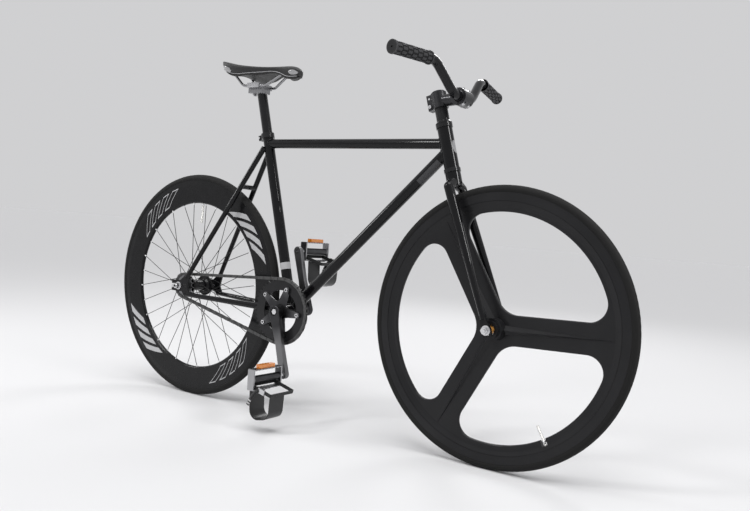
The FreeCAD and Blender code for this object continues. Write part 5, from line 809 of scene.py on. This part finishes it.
def weld(name, start, way, radius, host, host_way, host_radius, bead=BEAD):
    """A bead round the line where a round tube runs into its host."""
    way, host_way = Vector(way).normalized(), Vector(host_way).normalized()
    start, host = Vector(start), Vector(host)
    side = way.orthogonal().normalized()
    other = way.cross(side)
    points = []
    for step in range(WELD_STEPS):
        angle = math.tau * step / WELD_STEPS
        point = start + (side * math.cos(angle) + other * math.sin(angle)) * radius
        gap = point - host
        gap = gap - host_way * gap.dot(host_way)
        run = way - host_way * way.dot(host_way)
        a, b, c = run.dot(run), 2 * gap.dot(run), gap.dot(gap) - host_radius * host_radius
        root = b * b - 4 * a * c
        if root >= 0:
            points.append(point + way * ((-b - math.sqrt(root)) / (2 * a)))
    return piping(name, points, bead, "frame", frame_paint, closed=True)


DOWN_START = Vector(DOWN_TOP) - Vector(DOWN_WAY) * MID_TUBE
SEAT_START = Vector(CRANK) + Vector(SEAT_AXIS) * MID_TUBE
weld("weld_top_head", TOP_MIDDLE, (1, 0, 0), TOP_RADIUS, HEAD, HEAD_WAY, HEAD_RADIUS)
weld("weld_top_seat", TOP_MIDDLE, (-1, 0, 0), TOP_RADIUS, CRANK, SEAT_AXIS, SEAT_RADIUS)
weld("weld_down_head", DOWN_START, DOWN_WAY, DOWN_RADIUS, HEAD, HEAD_WAY, HEAD_RADIUS)
weld("weld_down_shell", DOWN_START, -Vector(DOWN_WAY), DOWN_RADIUS, CRANK, ACROSS, SHELL_RADIUS)
weld("weld_seat_shell", SEAT_START, -Vector(SEAT_AXIS), SEAT_RADIUS, CRANK, ACROSS, SHELL_RADIUS)
for name, side in (("weld_right_stay", -1), ("weld_left_stay", 1)):
    weld(name, (STAY_X, side * STAY_Y, STAY_Z), (STAY_WAY_X, side * STAY_WAY_Y, STAY_WAY_Z), STAY_RADIUS,
         CRANK, ACROSS, SHELL_RADIUS, STAY_BEAD)

# %% [markdown]
# ## Valve collars
# A threaded ring holds each valve in its rim. A ring could be cut from a tube, but only its outside shows, so
# a short cone about the valve's line with bevelled rims is enough.

# %% Fit the valve collars
FRONT_VALVE, REAR_VALVE = math.radians(-59), math.radians(86.875)
FRONT_COLLAR_REACH, REAR_COLLAR_REACH = 0.2785, 0.2455
COLLAR_RADIUS, COLLAR_NECK, COLLAR_HEIGHT, COLLAR_BEVEL = 5.2 * MM, 4.2 * MM, 5 * MM, 0.5 * MM
bright_steel = steel("collar_steel", (0.7, 0.7, 0.71), 0.24)


def valve_collar(name, axle, bearing, reach, body):
    """A ring on a valve, wider towards the rim."""
    inward = Vector((-math.cos(bearing), 0, -math.sin(bearing)))
    place = Vector(axle) - inward * reach
    turn = inward.to_track_quat("Z", "Y").to_matrix().to_4x4()
    collar = bmesh.new()
    bmesh.ops.create_cone(collar, cap_ends=True, segments=16, radius1=COLLAR_RADIUS, radius2=COLLAR_NECK,
                          depth=COLLAR_HEIGHT, matrix=Matrix.Translation(place) @ turn)
    caps = [face for face in collar.faces if len(face.verts) > 4]
    rims = list({edge for face in caps for edge in face.edges})
    bmesh.ops.bevel(collar, geom=rims, offset=COLLAR_BEVEL, segments=2, profile=0.5, affect="EDGES",
                    material=-1)
    piece = new_piece(name, collar, body, bright_steel, smooth=False)
    print(name, "faces", len(piece.data.polygons))


valve_collar("front_valve_collar", FRONT_AXLE, FRONT_VALVE, FRONT_COLLAR_REACH, "front_wheel")
valve_collar("rear_valve_collar", REAR_AXLE, REAR_VALVE, REAR_COLLAR_REACH, "rear_wheel")

# %% [markdown]
# ## Strap ends
# On each pedal the strap's loose end leaves the steel buckle on the outer side and hangs back and down, with
# two pale stitched stripes. So short and stiff a band needs no cloth simulation: it is a grid bent along a
# curve that three points guide, and then thickened.

# %% Hang the strap ends
PEDAL_RIGHT_Z, PEDAL_LEFT_Z = 0.137793, 0.466207
PEDALS = (("right", (PEDAL_RIGHT_X, PEDAL_RIGHT_Z), -1), ("left", (PEDAL_LEFT_X, PEDAL_LEFT_Z), 1))
TAIL_START, TAIL_BEND, TAIL_TIP = Vector((26, -24)) * MM, Vector((10, -26)) * MM, Vector((-7, -65)) * MM
TAIL_FACE, TAIL_WIDTH, TAIL_FLARE, TAIL_THICK = 0.1868, 9 * MM, 2 * MM, 1.6 * MM
TAIL_STRIPES = (-15.5 * MM, -11.5 * MM), (-7.5 * MM, -3.5 * MM)
tip_way = (TAIL_TIP - TAIL_BEND).normalized()

for name, (pedal_x, pedal_z), side in PEDALS:
    tail = bmesh.new()
    bmesh.ops.create_grid(tail, x_segments=2, y_segments=12, size=0.5)
    for vert in tail.verts:
        run, across = 0.5 - vert.co.y, vert.co.x * TAIL_WIDTH
        spot = TAIL_START * (1 - run) ** 2 + TAIL_BEND * (2 * run * (1 - run)) + TAIL_TIP * run ** 2
        way = ((TAIL_BEND - TAIL_START) * (1 - run) + (TAIL_TIP - TAIL_BEND) * run).normalized()
        spot += Vector((way.y, -way.x)) * across
        out = side * (TAIL_FACE + TAIL_FLARE * run * run)
        vert.co = Vector((pedal_x + spot.x, out, pedal_z + spot.y))
    bmesh.ops.recalc_face_normals(tail, faces=tail.faces)
    if sum(face.normal.y for face in tail.faces) * side < 0:
        bmesh.ops.reverse_faces(tail, faces=tail.faces)
    bmesh.ops.solidify(tail, geom=tail.faces[:], thickness=TAIL_THICK)
    print(name, "strap end from", round(min(abs(vert.co.y) for vert in tail.verts) / MM, 2), "mm out")
    tip = (pedal_x + TAIL_TIP.x, 0, pedal_z + TAIL_TIP.y)
    stripes = [(tip, (tip_way.x, 0, tip_way.y), low, high) for low, high in TAIL_STRIPES]
    new_piece(name + "_strap_end", tail, name + "_pedal", webbing(name + "_strap_end_webbing", stripes))

# %% [markdown]
# ## Chainring bolts
# The bolts that hold the chainring have round heads with a six-sided socket for the key. The solid heads are
# plain discs, so a thin cap with a real recess is laid on each: a short cone whose outer face is inset, drawn
# to a hexagon and pushed in. The fifth bolt is under the crank arm and stays as it is.

# %% Cap the chainring bolts
BOLT_REACH, BOLT_FACE, CAPPED_BOLTS = 65 * MM, -54.3 * MM, 4
CAP_RADIUS, CAP_EDGE, CAP_HEIGHT = 5.5 * MM, 5.1 * MM, 1.2 * MM
SOCKET_INSET, SOCKET_FLAT, SOCKET_DEPTH, SOCKET_DRAFT = 2 * MM, 2.7 * MM, 1 * MM, 0.1 * MM
CRANK_TURN, SPIDER_STEP, SIXTH = math.radians(-75), math.tau / 5, math.tau / 6
FACING_OUT, SOCKET_PAINTED_SHADE = -0.9, (0.02, 0.02, 0.02)
caps = bmesh.new()
outward = Matrix.Rotation(math.radians(90), 4, "X")
for number in range(CAPPED_BOLTS):
    bearing = CRANK_TURN + SPIDER_STEP * (number + 1)
    place = Vector((CRANK[0] + math.cos(bearing) * BOLT_REACH, BOLT_FACE - CAP_HEIGHT / 2,
                    CRANK[2] + math.sin(bearing) * BOLT_REACH))
    bmesh.ops.create_cone(caps, cap_ends=True, segments=24, radius1=CAP_RADIUS, radius2=CAP_EDGE,
                          depth=CAP_HEIGHT, matrix=Matrix.Translation(place) @ outward)
bmesh.ops.recalc_face_normals(caps, faces=caps.faces)
sockets = [face for face in caps.faces if face.normal.y < FACING_OUT]
bmesh.ops.inset_individual(caps, faces=sockets, thickness=SOCKET_INSET, depth=0)
for face in sockets:
    middle = face.calc_center_median()
    for vert in face.verts:
        angle = math.atan2(vert.co.z - middle.z, vert.co.x - middle.x)
        radius = SOCKET_FLAT / math.cos(angle % SIXTH - SIXTH / 2)
        vert.co = middle + Vector((math.cos(angle) * radius, 0, math.sin(angle) * radius))
bmesh.ops.inset_individual(caps, faces=sockets, thickness=SOCKET_DRAFT, depth=-SOCKET_DEPTH)
cap_steel = steel("bolt_cap_steel", PLATED_STEEL, 0.22)
_, y, _ = cap_steel.axes()
# The socket floor and the half of each cap nearer the bolt head are painted near black: painted shade in the
# recess.
cap_steel.set("Base Color", cap_steel.mix(y > BOLT_FACE - CAP_HEIGHT / 2, PLATED_STEEL, SOCKET_PAINTED_SHADE))
cap_piece = new_piece("chainring_bolt_caps", caps, "crankset", cap_steel, smooth=False)
print("bolt cap faces", len(cap_piece.data.polygons))

# %% [markdown]
# ## Floor and light
# A pale floor, four soft lamps and a wide sun make a plain studio. Dark gloss shows mostly what it reflects,
# so the lamps draw the long highlights along the tubes, and the pale backdrop is seen by glossy and
# transmitted rays as well as by the camera. The sky that lights the rest is darker.

# %% Lay the floor
FLOOR_RADIUS, FLOOR_SIDES = 300, 64
floor_maker = bmesh.new()
bmesh.ops.create_circle(floor_maker, cap_ends=True, segments=FLOOR_SIDES, radius=FLOOR_RADIUS)
floor_mesh = bpy.data.meshes.new("floor")
floor_maker.to_mesh(floor_mesh)
floor_maker.free()
floor = bpy.data.objects.new("floor", floor_mesh)
bpy.context.collection.objects.link(floor)
floor_finish = Finish("pale_floor", (0.74, 0.74, 0.75), 0.7, specular_ior_level=0.1)
floor_finish.set("Roughness", 0.7 + floor_finish.noise(3, 4) * 0.15)
floor_mesh.materials.append(floor_finish.material)
print("floor", floor.name)

# %% Hang the lamps
AIM = Vector((0, 0, 0.45))
SUN_POWER, SUN_SPREAD, SUN_PLACE = 2.3, math.radians(50), (0.6, -0.9, 4)
# Each lamp: name, place, size, power
LAMPS = (("key_lamp", (-1.4, -2.6, 2.6), 0.6, 32), ("front_lamp", (2.6, 0.0, 2.2), 0.5, 18),
         ("back_lamp", (-0.8, 2.8, 2.6), 1.2, 26), ("left_lamp", (-2.6, -1.1, 1.5), 0.5, 10))


def aimed(name, lamp, place):
    """Hang a lamp at a place and point it at the bike."""
    holder = bpy.data.objects.new(name, lamp)
    bpy.context.collection.objects.link(holder)
    holder.location = place
    holder.rotation_euler = (AIM - Vector(place)).to_track_quat("-Z", "Y").to_euler()


for name, place, size, power in LAMPS:
    lamp = bpy.data.lights.new(name, "AREA")
    lamp.size = size
    lamp.energy = power
    aimed(name, lamp, place)
sun = bpy.data.lights.new("sky_light", "SUN")
sun.energy = SUN_POWER
sun.angle = SUN_SPREAD
aimed("sky_light", sun, SUN_PLACE)
print("lamps", len(bpy.data.lights))

# %% Tint the sky
SKY, BACKDROP = (0.14, 0.14, 0.144, 1), (0.63, 0.63, 0.64, 1)
world = bpy.data.worlds.new("studio")
bpy.context.scene.world = world
world.use_nodes = True
sky = world.node_tree
ray = sky.nodes.new("ShaderNodeLightPath")
tint = sky.nodes.new("ShaderNodeMix")
tint.data_type = "RGBA"
tint.inputs[6].default_value = SKY
tint.inputs[7].default_value = BACKDROP
shown = ray.outputs["Is Camera Ray"]
for kind in ("Is Glossy Ray", "Is Transmission Ray"):
    either = sky.nodes.new("ShaderNodeMath")
    either.operation = "MAXIMUM"
    sky.links.new(shown, either.inputs[0])
    sky.links.new(ray.outputs[kind], either.inputs[1])
    shown = either.outputs[0]
sky.links.new(shown, tint.inputs[0])
sky.links.new(tint.outputs[2], sky.nodes["Background"].inputs["Color"])
bpy.context.scene.view_settings.view_transform = "Standard"
print("world", world.name)
